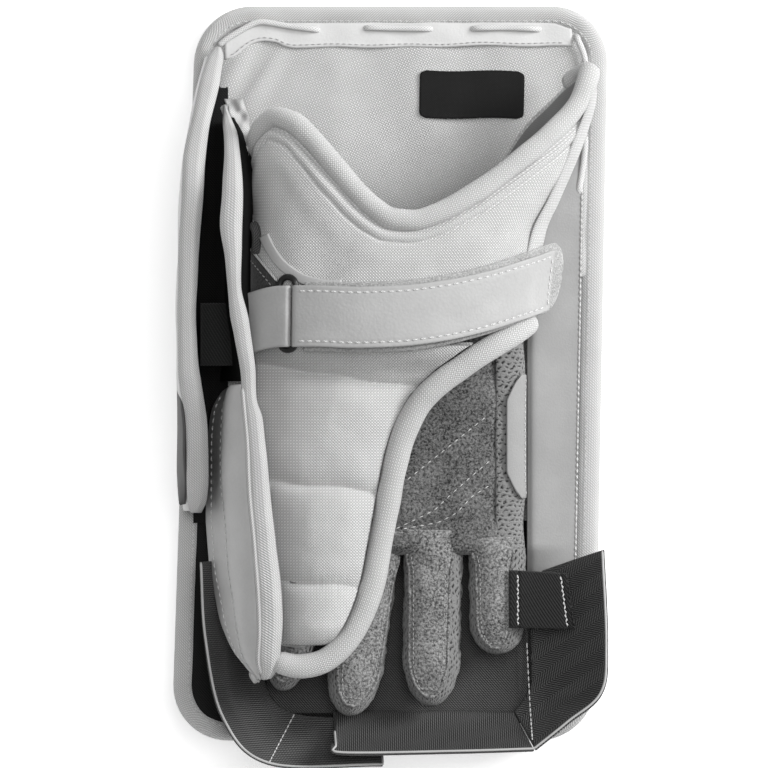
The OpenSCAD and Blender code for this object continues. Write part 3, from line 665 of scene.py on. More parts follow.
def fill_rows(inset, rows):
    """Rows across the board: their y, and where each meets the left and the right edge."""
    ring = outline(inset, 20, 3.0)
    low, high = ring[:, 1].min() + 0.05, ring[:, 1].max() - 0.05
    ys = mix(low, high, 0.5 - 0.5 * np.cos(np.linspace(0, math.pi, rows)))
    middle = board_middle(ring[:, 1])
    left, right = ring[ring[:, 0] < middle], ring[ring[:, 0] >= middle]
    left, right = left[np.argsort(left[:, 1])], right[np.argsort(right[:, 1])]
    x0 = np.interp(ys, left[:, 1], left[:, 0])
    x1 = np.interp(ys, right[:, 1], right[:, 0])
    return ys, x0, x1


def make_liner():
    ys, x0, x1 = fill_rows(5.5, 110)
    t = np.linspace(0, 1, 80)
    grid = np.zeros((80, len(ys), 3))
    grid[..., 0] = mix(x0[None], x1[None], t[:, None])
    grid[..., 1] = ys[None]
    grid[..., 2] = BACK_Z + 0.7
    fade = np.clip((ys - 55) / 50, 0.15, 1)[None]
    slant = grid[..., 0] / 6.5 + grid[..., 1] / 21
    grid[..., 2] += fade * (rough(grid, 24, 1.1, 5.0) + 0.3 * np.sin(slant + 2 * rough(grid, 30, 1.0, 3.0)))
    corner = bump_at(grid[..., 0], -58, 12) * bump_at(grid[..., 1], 132, 14)
    grid[..., 2] += 1.6 * corner * np.sin((grid[..., 0] - 0.7 * grid[..., 1]) / 2.6)
    grid[..., 2] = np.maximum(grid[..., 2], BACK_Z + 0.15)
    piece = panel("back_liner_cloth", grid, 1.2, LINER_CLOTH, up=1, grain=turned(grid[..., :2], 28))
    settle(piece, replaces=["back_liner"])

    # Near-black cloth over the liner, under the finger tray and between the thumb-side walls; its extra
    # darkness is painted shade for these deep gaps.
    ring = outline(6.8)
    left = ring[ring[:, 0] < 0]
    left = left[np.argsort(left[:, 1])]
    parts = [("shaded_black_floor_cloth", -143.5, -57, 60), ("shaded_black_gap_cloth", -58, 130, -68)]
    for name, y_from, y_to, inner_x in parts:
        ys = np.linspace(y_from, y_to, 80)
        in_gap = inner_x < 0
        x0 = np.interp(ys, left[:, 1], left[:, 0]) + 0.8
        if in_gap:
            x0 = np.interp(ys, [-58, 60, 110, 130], [-82.6, -82.4, -78, -73.5])
        grid = np.zeros((30, len(ys), 3))
        grid[..., 0] = mix(x0[None], np.maximum(inner_x, x0 + 4)[None], np.linspace(0, 1, 30)[:, None])
        grid[..., 1] = ys[None]
        over_lip = np.clip((-73.5 - grid[..., 0]) / 3, 0, 1) * in_gap
        low_z = BACK_Z + (1.6 if in_gap else 1.35)
        grid[..., 2] = mix(low_z, LIP_Z + 1.5, over_lip) + rough(grid, 18, 0.3, 2.0)
        piece = panel(name, grid, 0.6, SHADE_FLOOR_CLOTH, up=1, grain=grid[..., :2])
        settle(piece)


def make_strike_face():
    """The front of the board, face down: a leather cover with sewn seams across it."""
    ys, x0, x1 = fill_rows(2.2, 160)
    t = np.linspace(0, 1, 80)
    grid = np.zeros((80, len(ys), 3))
    grid[..., 0] = mix(x0[None], x1[None], t[:, None])
    grid[..., 1] = ys[None]
    bow = FACE_SEAM_BOW * (t[:, None] - 0.5) ** 2
    seams = 0.9 * sum(bump_at(grid[..., 1], y + bow, 1.6) for y in FACE_SEAMS)
    sides = 0.9 * (bump_at(t, 0.12, 0.012) + bump_at(t, 0.88, 0.012))[:, None]
    grid[..., 2] = np.maximum(seams, sides * (np.abs(grid[..., 1]) < 150)) + 0.02
    cover = panel("strike_face_cover", grid, 1.6, WHITE_LEATHER, up=-1)
    settle(cover, replaces=["face_cover"])
    rows = []
    for y in FACE_SEAMS:
        for side in (-3.2, 3.2):
            xs = np.linspace(-76, 76, 60)
            bow = FACE_SEAM_BOW * (xs / 174) ** 2
            rows.append(np.column_stack([xs, y + side + bow, np.full(60, 0.3)]))
    for k, row in enumerate(rows):
        sew(f"strike_face_stitching_{k + 1}", row, (0, 0, -1), DARK_THREAD, r=0.25, lift=0.0)


# ---- Lacing and patch on the board's back ----

LACE_R = 1.25


def make_lacing():
    y_low = 142.0
    xs = np.linspace(-69.5, 76.5, 120)
    lower_edge = table([(-69.5, 137.2), (-66, 138), (-62, 141), (-57.5, 143.6), (-53, 144.6),
                        (-48, 144.2), (-44, 142.6), (-40, y_low), (10, y_low), (40, y_low + 0.7),
                        (76.5, y_low + 0.4)])
    upper_edge = table([(-69.5, 143.5), (-66, 147.5), (-58, 151.5), (-50, 152.2), (66, 152.4),
                        (76.5, 149.5)])
    grid = np.zeros((len(xs), 10, 3))
    for i, x in enumerate(xs):
        grid[i, :, 0] = x
        grid[i, :, 1] = np.linspace(lower_edge(x) + 0.25 * math.sin(x / 5), upper_edge(x), 10)
    grid[..., 2] = BACK_Z + 2.3 + rough(grid, 12, 0.6, 2.0)
    grid[:, 0, 2] += 0.3
    settle(panel("lace_tape_leather", grid, 1.5, WHITE_LEATHER),
           replaces=["lace_tape"])
    edge = grid[2:-2, 0] + np.array([0, 1.1, 0.0])
    sew("lace_tape_stitching", edge, (0, 0, 1), DARK_THREAD, pitch=2.6, length=1.7, r=0.2, lift=0.02)

    over, under = BACK_Z + 3.6, BACK_Z - 1.5
    route = smooth([
        (-72, 142.5, over - 0.5), (-68, 145.6, over), (-60, 150.4, over), (-55, 152.4, over),
        (-50, 152, over), (-42, 150.6, over), (-32, 149.4, over), (-27, 149, under),
        (-14, 149.4, under), (-8.5, 150, over), (2, 149.8, over), (15, 149.6, over), (21, 149.6, under),
        (31, 149.4, under), (37, 149.8, over), (48, 150, over), (60, 149.6, over), (66, 149, under),
        (73, 148, under)], 12)
    settle(tube("top_lace_cord", route, LACE_R, BRAID, sides=12, flat=0.8),
           replaces=["top_lace"])
    high_z = LIP_Z + 1.7
    route = smooth([
        (78, 148, under), (79, 145, high_z), (81, 140, high_z), (82, 136, high_z), (82, 131.5, under),
        (81, 120, under), (80.5, 107, under), (82, 103, high_z), (81.5, 95, high_z), (80.5, 88, high_z),
        (79.5, 82, high_z), (79, 77, under)], 10)
    settle(tube("side_lace_cord", route, LACE_R, BRAID, sides=12, flat=0.85),
           replaces=["side_lace"])


def make_label():
    """A blank black patch with rounded corners."""
    low, high = box_mm("size_label")
    centre, w, h, r = (low + high) / 2, 44.0, 20.0, 2.6
    t = np.linspace(-1, 1, 40)
    grid = np.zeros((40, 24, 3))
    for j, s in enumerate(np.linspace(-1, 1, 24)):
        y = s * h / 2
        cut = max(0.0, abs(y) - (h / 2 - r))
        half = w / 2 - r + math.sqrt(max(0.0, r * r - cut * cut))
        grid[:, j] = np.column_stack([t * half, np.full(40, y), np.zeros(40)])
    a = math.radians(1.2)
    x, y = grid[..., 0].copy(), grid[..., 1].copy()
    grid[..., 0] = centre[0] + x * math.cos(a) + y * math.sin(a)
    grid[..., 1] = centre[1] - x * math.sin(a) + y * math.cos(a) + 0.4 * np.sin(x / 7)
    grid[..., 2] = BACK_Z + 2.7 + rough(grid, 14, 0.5, 1.0)
    patch = panel("blank_patch", grid, 0.9, LABEL, round_edge=0.3)
    settle(patch, replaces=["size_label"])


# ---- Cuff ----

cuff_right_x = table([(20, 59), (35, 60), (63, 64), (77, 70), (101, 80), (118, 85), (136, 87)])
mouth_y = table([
    (-54, 90), (-48, 112), (-38, 123), (-26, 131), (-12, 134.5), (0, 134), (8, 130), (18, 121),
    (32, 109.5), (46, 97.5), (58, 86.5), (66, 80.5), (75, 75), (84, 72.2), (92, 72.8), (100, 77),
    (108, 83.5), (118, 93.5), (133, 108), (141, 113.2), (151, 115.2), (162, 112), (175, 106),
    (190, 100), (214, 92)])
foot_y = table([(-54, 60), (-20, 46), (10, 30), (50, 22), (90, 17.5), (214, 17.5)])


def cuff_point(angle, y, depth=0.0):
    """A point on the cuff: angle 90 is its crown and 0 its right side; depth is measured inwards."""
    a = np.radians(angle)
    right = cuff_right_x(y)
    cx, rx = (right + CUFF_LEFT_X) / 2, (right - CUFF_LEFT_X) / 2 - depth
    z = CUFF_Z + (CUFF_RZ - depth) * np.sin(a)
    return np.stack(np.broadcast_arrays(cx + rx * np.cos(a), y, z), axis=-1)


def on_cuff(x, y, up):
    """The point over (x, y) that lies on the cuff's outside, raised by up."""
    right = cuff_right_x(y)
    cx, rx = (right + CUFF_LEFT_X) / 2, (right - CUFF_LEFT_X) / 2
    c = np.clip((np.asarray(x) - cx) / rx, -0.995, 0.995)
    return np.stack(np.broadcast_arrays(x, y, CUFF_Z + CUFF_RZ * np.sqrt(1 - c * c) + up), axis=-1)


def arch_z(x):
    cx, rx = (59.5 + CUFF_LEFT_X) / 2, (59.5 - CUFF_LEFT_X) / 2
    return CUFF_Z + CUFF_RZ * np.sqrt(np.maximum(0, 1 - ((x - cx) / rx) ** 2))


def mouth_slant(angle):
    """How much further than its own radius the roll reaches along y, where the mouth runs at a slant."""
    rise = mouth_y(angle + 2) - mouth_y(angle - 2)
    run = np.linalg.norm(cuff_point(angle + 2, 100.0) - cuff_point(angle - 2, 100.0), axis=-1)
    return np.minimum(np.sqrt(1 + (rise / run) ** 2), 2.2)


def cuff_grid(edge_rows):
    """Cuff angles against rows: even ones from the foot, then ones at set distances from the roll."""
    angle = np.linspace(CUFF_TO, CUFF_FROM, 150)
    slant = mouth_slant(angle)
    edge = mouth_y(angle) - CUFF_ROLL_R * (1 + slant)
    away = np.array(edge_rows)
    near = edge[:, None] - away[None] * slant[:, None]
    foot = np.minimum(foot_y(angle), near[:, 0] - 4)
    lower = mix(foot[:, None], near[:, :1], np.linspace(0, 1, 41)[None, :-1])
    y = np.concatenate([lower, near], axis=1)
    return np.broadcast_to(angle[:, None], y.shape), y, (edge[:, None] - y) / slant[:, None]


def cuff_grain(angle, y):
    u = run_along(cuff_point(angle[:, 0], 60.0))
    return np.stack([np.broadcast_to(u[:, None], y.shape), y], axis=-1)


def make_cuff():
    rows = [11, 9.5, 8, 7, 6.3, 5.8, 5.4, 5.0, 4.6, 4.2, 3.6, 3, 2.4, 1.9, 1.4, 1, 0.6, 0.2, -0.4, -1.2,
            -2.2]
    angle, y, away = cuff_grid(rows)
    depth = 0.2 + 2.6 * bump_at(away, -0.4, 1.5) + 0.95 * bump_at(away, 5.2, 0.55)
    depth += -0.5 * bump_at(away, 2.6, 1.2) - 0.7 * bump_at(away, 12, 5)
    flat = cuff_point(angle, y)
    strap_line = strap_y(flat[..., 0])
    depth += 1.5 * bump_at(y, strap_line, 13) * (angle > 30)
    depth += rough(flat, 28, 1.3, 4.0) + rough(flat, 9, 0.25, 6.0)
    fold = bump_at(y, strap_line + 17, 7) * np.clip((angle - 20) / 20, 0, 1)
    depth += 0.5 * fold * np.sin(angle / 4.3 + y / 9)
    depth += 2.0 * np.clip((angle - 150) / 40, 0, 1)
    outer = cuff_point(angle, y, depth)
    cover = panel("cuff_cover", outer, 3.6, CLOTH, up=facing_out(outer),
                  grain=turned(cuff_grain(angle, y), 45))
    settle(cover, replaces=["cuff_shell", "cuff_foam"])

    angle, y, away = cuff_grid([4, 2, 0.5, -1])
    inner = cuff_point(angle, y, CUFF_T - 0.1)
    inner = cuff_point(angle, y, CUFF_T - 0.1 + rough(inner, 20, 0.5, 9.0))
    lining = panel("cuff_inner", inner, 2.6, GREY_LINING, up=-facing_out(inner))
    settle(lining, replaces=["cuff_lining"])

    path = []
    for a in np.linspace(CUFF_TO - 2, -30, 170):
        path.append(cuff_point(a, float(mouth_y(a)) - CUFF_ROLL_R, CUFF_T / 2))
    path = even(np.array(path), 1.6)
    size = CUFF_ROLL_R + 0.1 + rough(path, 14, 0.35, 6.0)
    settle(tube("cuff_mouth_roll", path, size, ROLL_CLOTH, sides=26, turn=45),
           replaces=["cuff_roll"])
    make_side_strip()


def make_side_strip():
    """The bound edge down the cuff's right side, with a welt along it."""
    inner_edge = table([(46, 26), (62, 24), (80, 21), (100, 20), (122, 15)])
    ys = np.linspace(46, 123, 60)
    grid = np.array([cuff_point(np.linspace(inner_edge(y), -6, 14), y, -0.8) for y in ys])
    arc = np.linspace(-1, 1, 14)
    grid[..., 2] += 0.7 * (1 - arc**2)[None]
    side = -1 if normals_of(grid)[30, 7][0] < 0 else 1
    settle(panel("cuff_side_band", grid, 1.0, CLOTH, up=side, grain=turned(grain_of(grid), 45)),
           replaces=["cuff_side_strip"])
    welt = grid[:, 0] + [-0.3, 0, 0.0]
    settle(tube("cuff_side_welt", even(welt, 1.5), 0.6, TWILL, sides=10))


# ---- Wrist strap ----

strap_y = table([(-58, 24.2), (-41.4, 28.3), (-29, 28.4), (-13, 27.8), (2.5, 28.3), (19, 30.4),
                 (35, 34.2), (50.5, 39.6), (60.6, 43.5), (71, 47)])


def strap_point(angle, y, height):
    """A point on the strap's line: round the cuff, then straight on where the strap leaves it."""
    angle = np.asarray(angle, float)
    a = math.radians(LEAVE_ANGLE)
    way = np.array([59 * math.sin(a), 0, -CUFF_RZ * math.cos(a)])
    way /= np.linalg.norm(way)
    on = cuff_point(np.maximum(angle, LEAVE_ANGLE), y, -height)
    return on + way * (np.maximum(0, LEAVE_ANGLE - angle) * MM_PER_DEGREE)[..., None]


def band_grid(a_from, a_to, height, w, n, m=14, round_end=0.0):
    """Grid of a band over the cuff at a height above it; round_end is its rounded end's length."""
    rows = []
    angles = np.linspace(a_from, a_to, n)
    middle = np.array([strap_point(a, float(strap_y(strap_point(a, 30.0, 0)[0])), height) for a in angles])
    to_end = run_along(middle)
    to_end = to_end[-1] - to_end
    for k, a in enumerate(angles):
        half = w / 2
        if round_end:
            half *= math.sqrt(max(0.02, 1 - max(0, 1 - to_end[k] / round_end) ** 2.6))
        rows.append([strap_point(a, middle[k][1] + s * half, height) for s in np.linspace(-1, 1, m)])
    return np.array(rows)


def make_strap():
    top = STRAP_LOW + 1.7
    grid = band_grid(129.8, 9, top, STRAP_W, 120, 31)
    lift = rough(grid, 20, 0.35, 7.0)
    s = np.abs(np.linspace(-1, 1, 31))
    lift -= 0.45 * bump_at(s, 1 - 4.4 / STRAP_W, 0.035)[None] + 0.4 * (s[None] > 0.97)
    t = np.linspace(0, 1, len(grid))
    lift -= 0.4 * bump_at(t, 0.982, 0.006)[:, None]
    grid[..., 2] += lift - 3.2 * np.exp(-((t / 0.010) ** 2))[:, None]
    grid[:2, :, 0] += np.array([0.7, 0.15])[:, None]
    up = facing_out(grid)
    strap = panel("wrist_strap", grid, 1.7, STRAP_LEATHER, up=up, round_edge=0.5)
    fold = ("strap_ring", "strap", (-42.2, 28, 84), (-34.0, 28, 84))
    settle(strap, replaces=["strap_leather"], across=fold)
    n = normals_of(grid) * up
    for k, j in enumerate((3, 27)):
        sew(f"strap_stitching_{k + 1}", grid[4:-3, j], n[4:-3, j], pitch=3.4, length=2.6, r=0.4,
            across=fold)
    sew("strap_stitching_end", grid[-4, 3:-3], n[-4, 3:-3], pitch=3.4, length=2.6, r=0.4, across=fold)

    grid = band_grid(126, -8.5, 2.4, STRAP_W + 3.8, 110, 24, round_end=11)
    grid[..., 2] += rough(grid, 5, 0.3, 2.0)
    edge = np.abs(np.linspace(-1, 1, 24)) ** 8
    grid[..., 2] -= 0.5 * edge[None]
    settle(panel("loop_pile_strap", grid, 1.9, LOOP_PILE, up=facing_out(grid), round_edge=0.8),
           replaces=["loop_strap"])

    grid = band_grid(170, 128.9, top, STRAP_W - 0.4, 40, 20)
    t = np.linspace(0, 1, len(grid))[:, None]
    grid[..., 2] += rough(grid, 12, 0.4, 4.0) - 3.0 * np.exp(-((1 - t) / 0.03) ** 2)
    grid[..., 2] -= 3.5 * np.clip(1 - t / 0.35, 0, 1) ** 2
    settle(panel("strap_tab_leather", grid, 1.6, STRAP_LEATHER, up=facing_out(grid)),
           replaces=["strap_tab"], across=("root", "strap_ring", (-50, 28, 82), (-44.5, 28, 82)))

    low, high = box_mm("strap_anchor")
    grid = np.zeros((30, 20, 3))
    grid[..., 0] = np.linspace(low[0], high[0], 30)[:, None]
    grid[..., 1] = np.linspace(low[1], high[1], 20)[None]
    grid[..., 2] = high[2] - 1.2 * np.sin(np.linspace(0, math.pi, 30))[:, None] + 0.3
    settle(panel("anchor_elastic", grid, 1.9, ELASTIC, up=1), replaces=["strap_anchor"])
    make_felt()


def make_felt():
    """Dark felt beside the ring, its light edge, the tape that curves up from the strap, and a loop."""
    ys = np.linspace(30, 57, 30)
    right = np.interp(ys, [30, 43, 57], [-45.5, -46.6, -57.6])
    rows = [on_cuff(mix(-58.7, x, np.linspace(0, 1, 14)), y, 0.9) for x, y in zip(right, ys)]
    grid = np.array(rows)
    settle(panel("felt_corner", grid, 1.0, FELT, up=facing_out(grid)), replaces=["felt_patch"])
    xs, ys = np.linspace(-58.2, -46.6, 30), np.linspace(56.8, 42.8, 30)
    line = np.array([on_cuff(x, y, 1.3) for x, y in zip(xs, ys)])
    settle(tube("felt_edge", even(line, 1.0), 0.55, TWILL, sides=8))
    inside = line + [-2.2, -2.2, 0.0]
    inside = np.array([on_cuff(p[0], p[1], 1.0) for p in inside])
    sew("felt_stitching", inside, (0, 0, 1), DARK_THREAD, pitch=2.4, length=1.6, r=0.24)

    path = smooth([(-20, 41.4, 0), (-28, 41.6, 0), (-37.2, 44.2, 0), (-45.2, 50.0, 0), (-50.0, 56.6, 0),
                   (-52.6, 62.0, 0)], 10)
    step = np.gradient(path, axis=0)
    step /= np.linalg.norm(step, axis=1, keepdims=True)
    side = np.stack([-step[:, 1], step[:, 0]], axis=1)
    grid = np.array([[on_cuff(p[0] + n[0] * s, p[1] + n[1] * s, 1.6 + 0.25 * (1 - (s / 2.2) ** 2))
                      for s in np.linspace(-2.2, 2.2, 8)] for p, n in zip(path, side)])
    settle(panel("strap_edge_tape", grid, 1.2, PLATE_LEATHER, up=facing_out(grid)))
    loop = smooth([(-57.4, 67.5, 0), (-55.6, 64, 0), (-55.2, 59, 0), (-55.9, 54, 0)], 8)
    loop = np.array([on_cuff(p[0], p[1], 1.2) for p in loop])
    settle(tube("black_pull_loop", even(loop, 1.0), 2.1, BLACK_TWILL, sides=14, flat=0.6))


# ---- Walls on the thumb side ----

# Each band's left and right edges along y, and its top height.
OUTER = {
    "left": table([(143, -73.4), (137, -77), (108, -83.6), (93.6, -86.5), (73, -87.4), (53.5, -88.2),
                   (29, -88.6), (5.4, -88.4), (-18.8, -85.4), (-47, -85), (-54.5, -83.6)]),
    "right": table([(143, -71.4), (137.5, -69.2), (128, -70.2), (108, -74.4), (93.6, -76), (73, -77.3),
                    (50.6, -79), (29.3, -79.8), (13.4, -79), (-5.9, -76.5), (-24, -74.8),
                    (-37.6, -74.8), (-48, -75.7), (-54.5, -79)]),
    "top": table([(-54.5, 42), (-48, 50), (-40, 55.5), (-15, 63), (30, 67.5), (80, 65.5), (110, 55),
                  (130, 42), (143, 30)]),
}
INNER = {
    "left": table([(118, -69.8), (110, -69.9), (96, -69.2), (79, -70.2), (67, -71), (52, -68.6),
                   (40, -67.3), (29, -66.5), (21, -64.8), (5.4, -62.3), (-16, -60.6), (-43, -58.9),
                   (-73, -56.8), (-89, -55.8), (-104, -55.6), (-113, -55.8), (-122, -54)]),
    "right": table([(118, -68.9), (110, -65.2), (104, -62.9), (91, -61), (79, -60.2), (61, -60.6),
                    (41, -61), (27, -57.6), (11, -55.6), (-6, -54.6), (-13.4, -52.2), (-35, -49.8),
                    (-53.5, -47.7), (-73, -45.6), (-89, -43.9), (-98, -43.7), (-113, -44.9),
                    (-119.5, -47), (-122, -50)]),
    "top": table([(-122, 64), (-114, 69.5), (-100, 74), (-70, 77.5), (-30, 78.2), (0, 78.2), (40, 78),
                  (75, 76), (95, 67), (108, 54), (118, 38)]),
}


def edge_band(name, shape, y_from, y_to, material, seed):
    """The bound top edge of a padded wall: an arched strip with a soft crease, closed underneath."""
    n = 14
    ys = np.linspace(y_from, y_to, int(abs(y_to - y_from) / 2.0) + 2)
    left, right, top = (shape[k](ys) for k in ("left", "right", "top"))
    s = np.linspace(-1, 1, n)
    grid = np.zeros((len(ys), n, 3))
    grid[..., 0] = mix(left[:, None], right[:, None], (s + 1) / 2)
    grid[..., 1] = ys[:, None]
    arch = -3.2 * np.abs(s) ** 2.6 + 0.5 * bump_at(s, 0.3, 0.22)
    grid[..., 2] = top[:, None] + arch[None]
    grid[..., 2] += rough(grid, 11, 0.5, seed)
    grid[..., 0] += rough(grid, 14, 0.35, seed + 5)
    piece = panel(name, grid, 2.4, material, up=1 if normals_of(grid)[len(ys) // 2, n // 2][2] > 0 else -1,
                  round_edge=1.0)
    return piece, grid


def wall_face(name, ys, top_x, top_z, foot_x, foot_z, bulge, thick, material, side):
    """One face of a standing wall, from its foot to its top edge; side is -1 for a face that looks left."""
    n = 16
    t = np.linspace(0, 1, n)
    grid = np.zeros((len(ys), n, 3))
    grid[..., 0] = mix(foot_x[:, None], top_x[:, None], t) + side * bulge * np.sin(math.pi * t) ** 0.8
    grid[..., 1] = ys[:, None]
    grid[..., 2] = mix(foot_z[:, None], top_z[:, None], t)
    grid[..., 0] += rough(grid, 22, 0.7, 3.0 + side)
    towards = normals_of(grid)[len(ys) // 2, n // 2][0]
    return panel(name, grid, thick, material, up=1 if towards * side > 0 else -1), grid


def make_outer_panel():
    band, _ = edge_band("side_panel_binding", OUTER, -54, 142.5, HERRINGBONE, 2.0)
    settle(band, replaces=["side_panel_band"])
    ys = np.linspace(-53, 138, 80)
    left, right, top = OUTER["left"](ys), OUTER["right"](ys), OUTER["top"](ys) - 2.6
    foot = table([(-54, -84), (0, -85.5), (60, -85), (110, -80.5), (140, -73.5)])(ys)
    foot_z = np.full(len(ys), LIP_Z + 0.7)
    cover, _ = wall_face("side_panel_cover_cloth", ys, left + 1.4, top, foot - 2.8, foot_z, 1.6, 1.4,
                         WHITE_LEATHER, -1)
    settle(cover, replaces=["side_panel_cover", "side_panel_foam"])
    lining, grid = wall_face("side_panel_lining_cloth", ys, right - 1.4, top, foot + 2.8, foot_z, 0.6,
                             1.2, BLACK_LINING, 1)
    settle(lining, replaces=["side_panel_lining"])

    ys = np.linspace(-50, 4, 34)
    left = np.interp(ys, [-50, -18, 4], [-85.2, -85.4, -87.0])
    end = np.clip(np.minimum(ys + 50, 4 - ys) / 14, 0, 1) ** 0.6
    top_z = mix(44.0, OUTER["top"](ys) - 2.0, end)
    patch, _ = wall_face("side_panel_corner", ys, left - 0.2, top_z, np.full(34, -88.6) + 1.2 * (1 - end),
                         mix(42.0, LIP_Z + 4, end), 1.5, 1.0, DARK_LEATHER, -1)
    settle(patch, replaces=["side_panel_patch"])


# The thumb guard bends on the flex seam at y = 0; these two points go with the pieces that cross it but are
# not read.
GUARD_BEND = ("root", "thumb_guard", (-25, 7.0, 79.5), (-25, -7.0, 79.5))


def make_inner_wall():
    band, _ = edge_band("inner_wall_binding", INNER, -122.6, 117.5, HERRINGBONE, 6.0)
    settle(band, replaces=["inner_wall_band", "thumb_band"], across=GUARD_BEND)
    ys = np.linspace(1.5, 112, 60)
    left, right, top = INNER["left"](ys), INNER["right"](ys), INNER["top"](ys) - 2.6
    foot = np.interp(ys, [0, 20, 118], [-70.5, -68, -66.5])
    foot_z = np.full(len(ys), LIP_Z + 1.4)
    cover, _ = wall_face("inner_wall_cover_cloth", ys, left + 1.2, top, foot - 1.6, foot_z, 0.8, 1.2,
                         BLACK_LINING, -1)
    settle(cover, replaces=["inner_wall_cover", "inner_wall_foam"])
    belly = np.interp(ys, [0, 24, 36, 96, 112], [0.4, 0.6, 6.2, 6.6, 2.0])[:, None]
    lining, grid = wall_face("inner_wall_lining_cloth", ys, right - 1.2, top, foot + 1.8, foot_z, belly,
                             1.2, BLACK_LINING, 1)
    settle(lining, replaces=["inner_wall_lining"])
    # A crumpled white strip joins the wall's upper end to the liner.
    ys = np.linspace(84, 120, 44)
    x0 = np.interp(ys, [84, 96, 108, 120], [-61.5, -62.6, -65.4, -69.5])
    x1 = np.interp(ys, [84, 92, 102, 112, 120], [-60.3, -59.4, -57.8, -58.6, -61.5])
    grid = np.zeros((16, len(ys), 3))
    grid[..., 0] = mix(x0[None], x1[None], np.linspace(0, 1, 16)[:, None])
    grid[..., 1] = ys[None]
    grid[..., 2] = np.interp(ys, [84, 100, 120], [62, 53, 31])[None] + rough(grid, 4, 3.6, 7.0)
    settle(panel("wall_joining_strip", grid, 0.9, TWILL, up=facing_out(grid)))


def make_thumb_plate():
    """Leather face of the thumb guard: a flat sewn margin, then a padded ridge up to the seam."""
    outer_x = table([(-122.6, -54.6), (-120, -57.5), (-116, -61.2), (-111.6, -65.2), (-106, -68.6),
                     (-98.6, -71.5), (-86, -73.6), (-77, -75.7), (-65, -76.9), (-54, -77.7),
                     (-30, -77.4), (-12, -75.5), (-3, -71), (0.5, -66)])
    stitch_x = table([(-122.6, -54.2), (-118, -57.6), (-114, -60.2), (-108, -62.2), (-98, -64),
                      (-89, -65), (-73, -67), (-54, -68.8), (-30, -70), (-12, -69.6), (-3, -67.6),
                      (0.5, -65)])
    foot_z = table([(-122.6, 62), (-118, 57), (-114, 51), (-104, 43), (-84, 34), (-62, 29), (-40, 28),
                    (0.5, 30)])
    ys = np.concatenate([np.linspace(-122.4, -104, 34), np.linspace(-103, 0.3, 76)])
    t = np.linspace(0, 1, 40)
    seam_x, seam_z = INNER["left"](ys) + 0.8, INNER["top"](ys) - 2.0
    low = np.stack([outer_x(ys), ys, foot_z(ys)], axis=1)
    high = np.stack([seam_x, ys, seam_z], axis=1)
    knee = np.stack([stitch_x(ys), ys, mix(foot_z(ys), seam_z, 0.55)], axis=1)
    grid = np.zeros((len(ys), len(t), 3))
    split = 0.40
    size = np.clip((ys + 122.6) / 26, 0.08, 1) ** 0.7
    for j, s in enumerate(t):
        if s < split:
            grid[:, j] = mix(low, knee, s / split)
        else:
            r = (s - split) / (1 - split)
            puff = 4.2 * math.sin(math.pi * r) ** 0.7 * size
            grid[:, j] = mix(knee, high, r) + puff[:, None] * np.array([-0.6, 0, 0.75])
    grid[..., 2] -= 0.8 * bump_at(np.arange(len(t)) / 39, split, 0.03)[None]
    grid[..., 0] += rough(grid, 25, 0.8, 4.5)
    up = -1 if normals_of(grid)[40, 20][0] > 0 else 1
    piece = panel("thumb_plate_leather", grid, 2.6, PLATE_LEATHER, up=up)
    settle(piece, "thumb_guard", ["thumb_plate_cover", "thumb_plate_foam"])
    n = normals_of(grid) * up
    for k, j in enumerate((int(split * 39), 5)):
        row = grid[12:-2, j]
        sew(f"thumb_plate_stitching_{k + 1}", row, n[12:-2, j], pitch=3.2, length=2.2, r=0.3,
            body="thumb_guard")
    welt = grid[4:-1, -1] + np.array([0.2, 0, 0.9])
    settle(tube("thumb_plate_welt", even(welt, 1.5), 0.8, TWILL, sides=10), "thumb_guard")


# ---- Thumb guard's quilt and roll ----

quilt_right = table([(-110, -28), (-107, -24.5), (-96, -17.5), (-82, -12.6), (-66, -9.4), (-50, -6.4),
                     (-34, -3.4), (-21, 0), (-10.5, 4.8), (-3, 9.6), (3.5, 16), (8, 21.5), (12.5, 28),
                     (16.8, 34)])
QUILT_SEAMS = ((4.0, -0.145, 8.0), (-42.3, -0.107, 5.8), (-83.1, -0.084, 5.8))


def quilt_surface(x, y, u):
    """Height of the quilt: puffed squares between sewn lines, falling towards the wall."""
    hollow = np.clip((y + 30) / 34, 0, 1) * np.clip(1 - u / 0.5, 0, 1)
    base = mix(63.0, 68.0, u) + 9.0 * np.sin(math.pi * np.clip(u, 0, 1)) ** 0.75 - 7.0 * hollow
    rise = np.clip((y - 4) / 13, 0, 1)
    base = mix(base, arch_z(np.clip(x, -56, 56)) - 1.4, rise * rise * (3 - 2 * rise))
    pinch = 0.0
    across = 0.35 + 0.65 * np.sin(math.pi * np.clip(u, 0.02, 0.98)) ** 0.4
    for y0, slope, depth in QUILT_SEAMS:
        away = y - (y0 + slope * (x + 25) + 0.5 * np.sin(x / 4.5))
        pinch = pinch + depth * np.where(away > 0, np.exp(-away / 5.0), np.exp(away / 2.6)) * across
    end = np.clip((-99 - y) / 9, 0, 1)
    return base - pinch - 8 * end**2


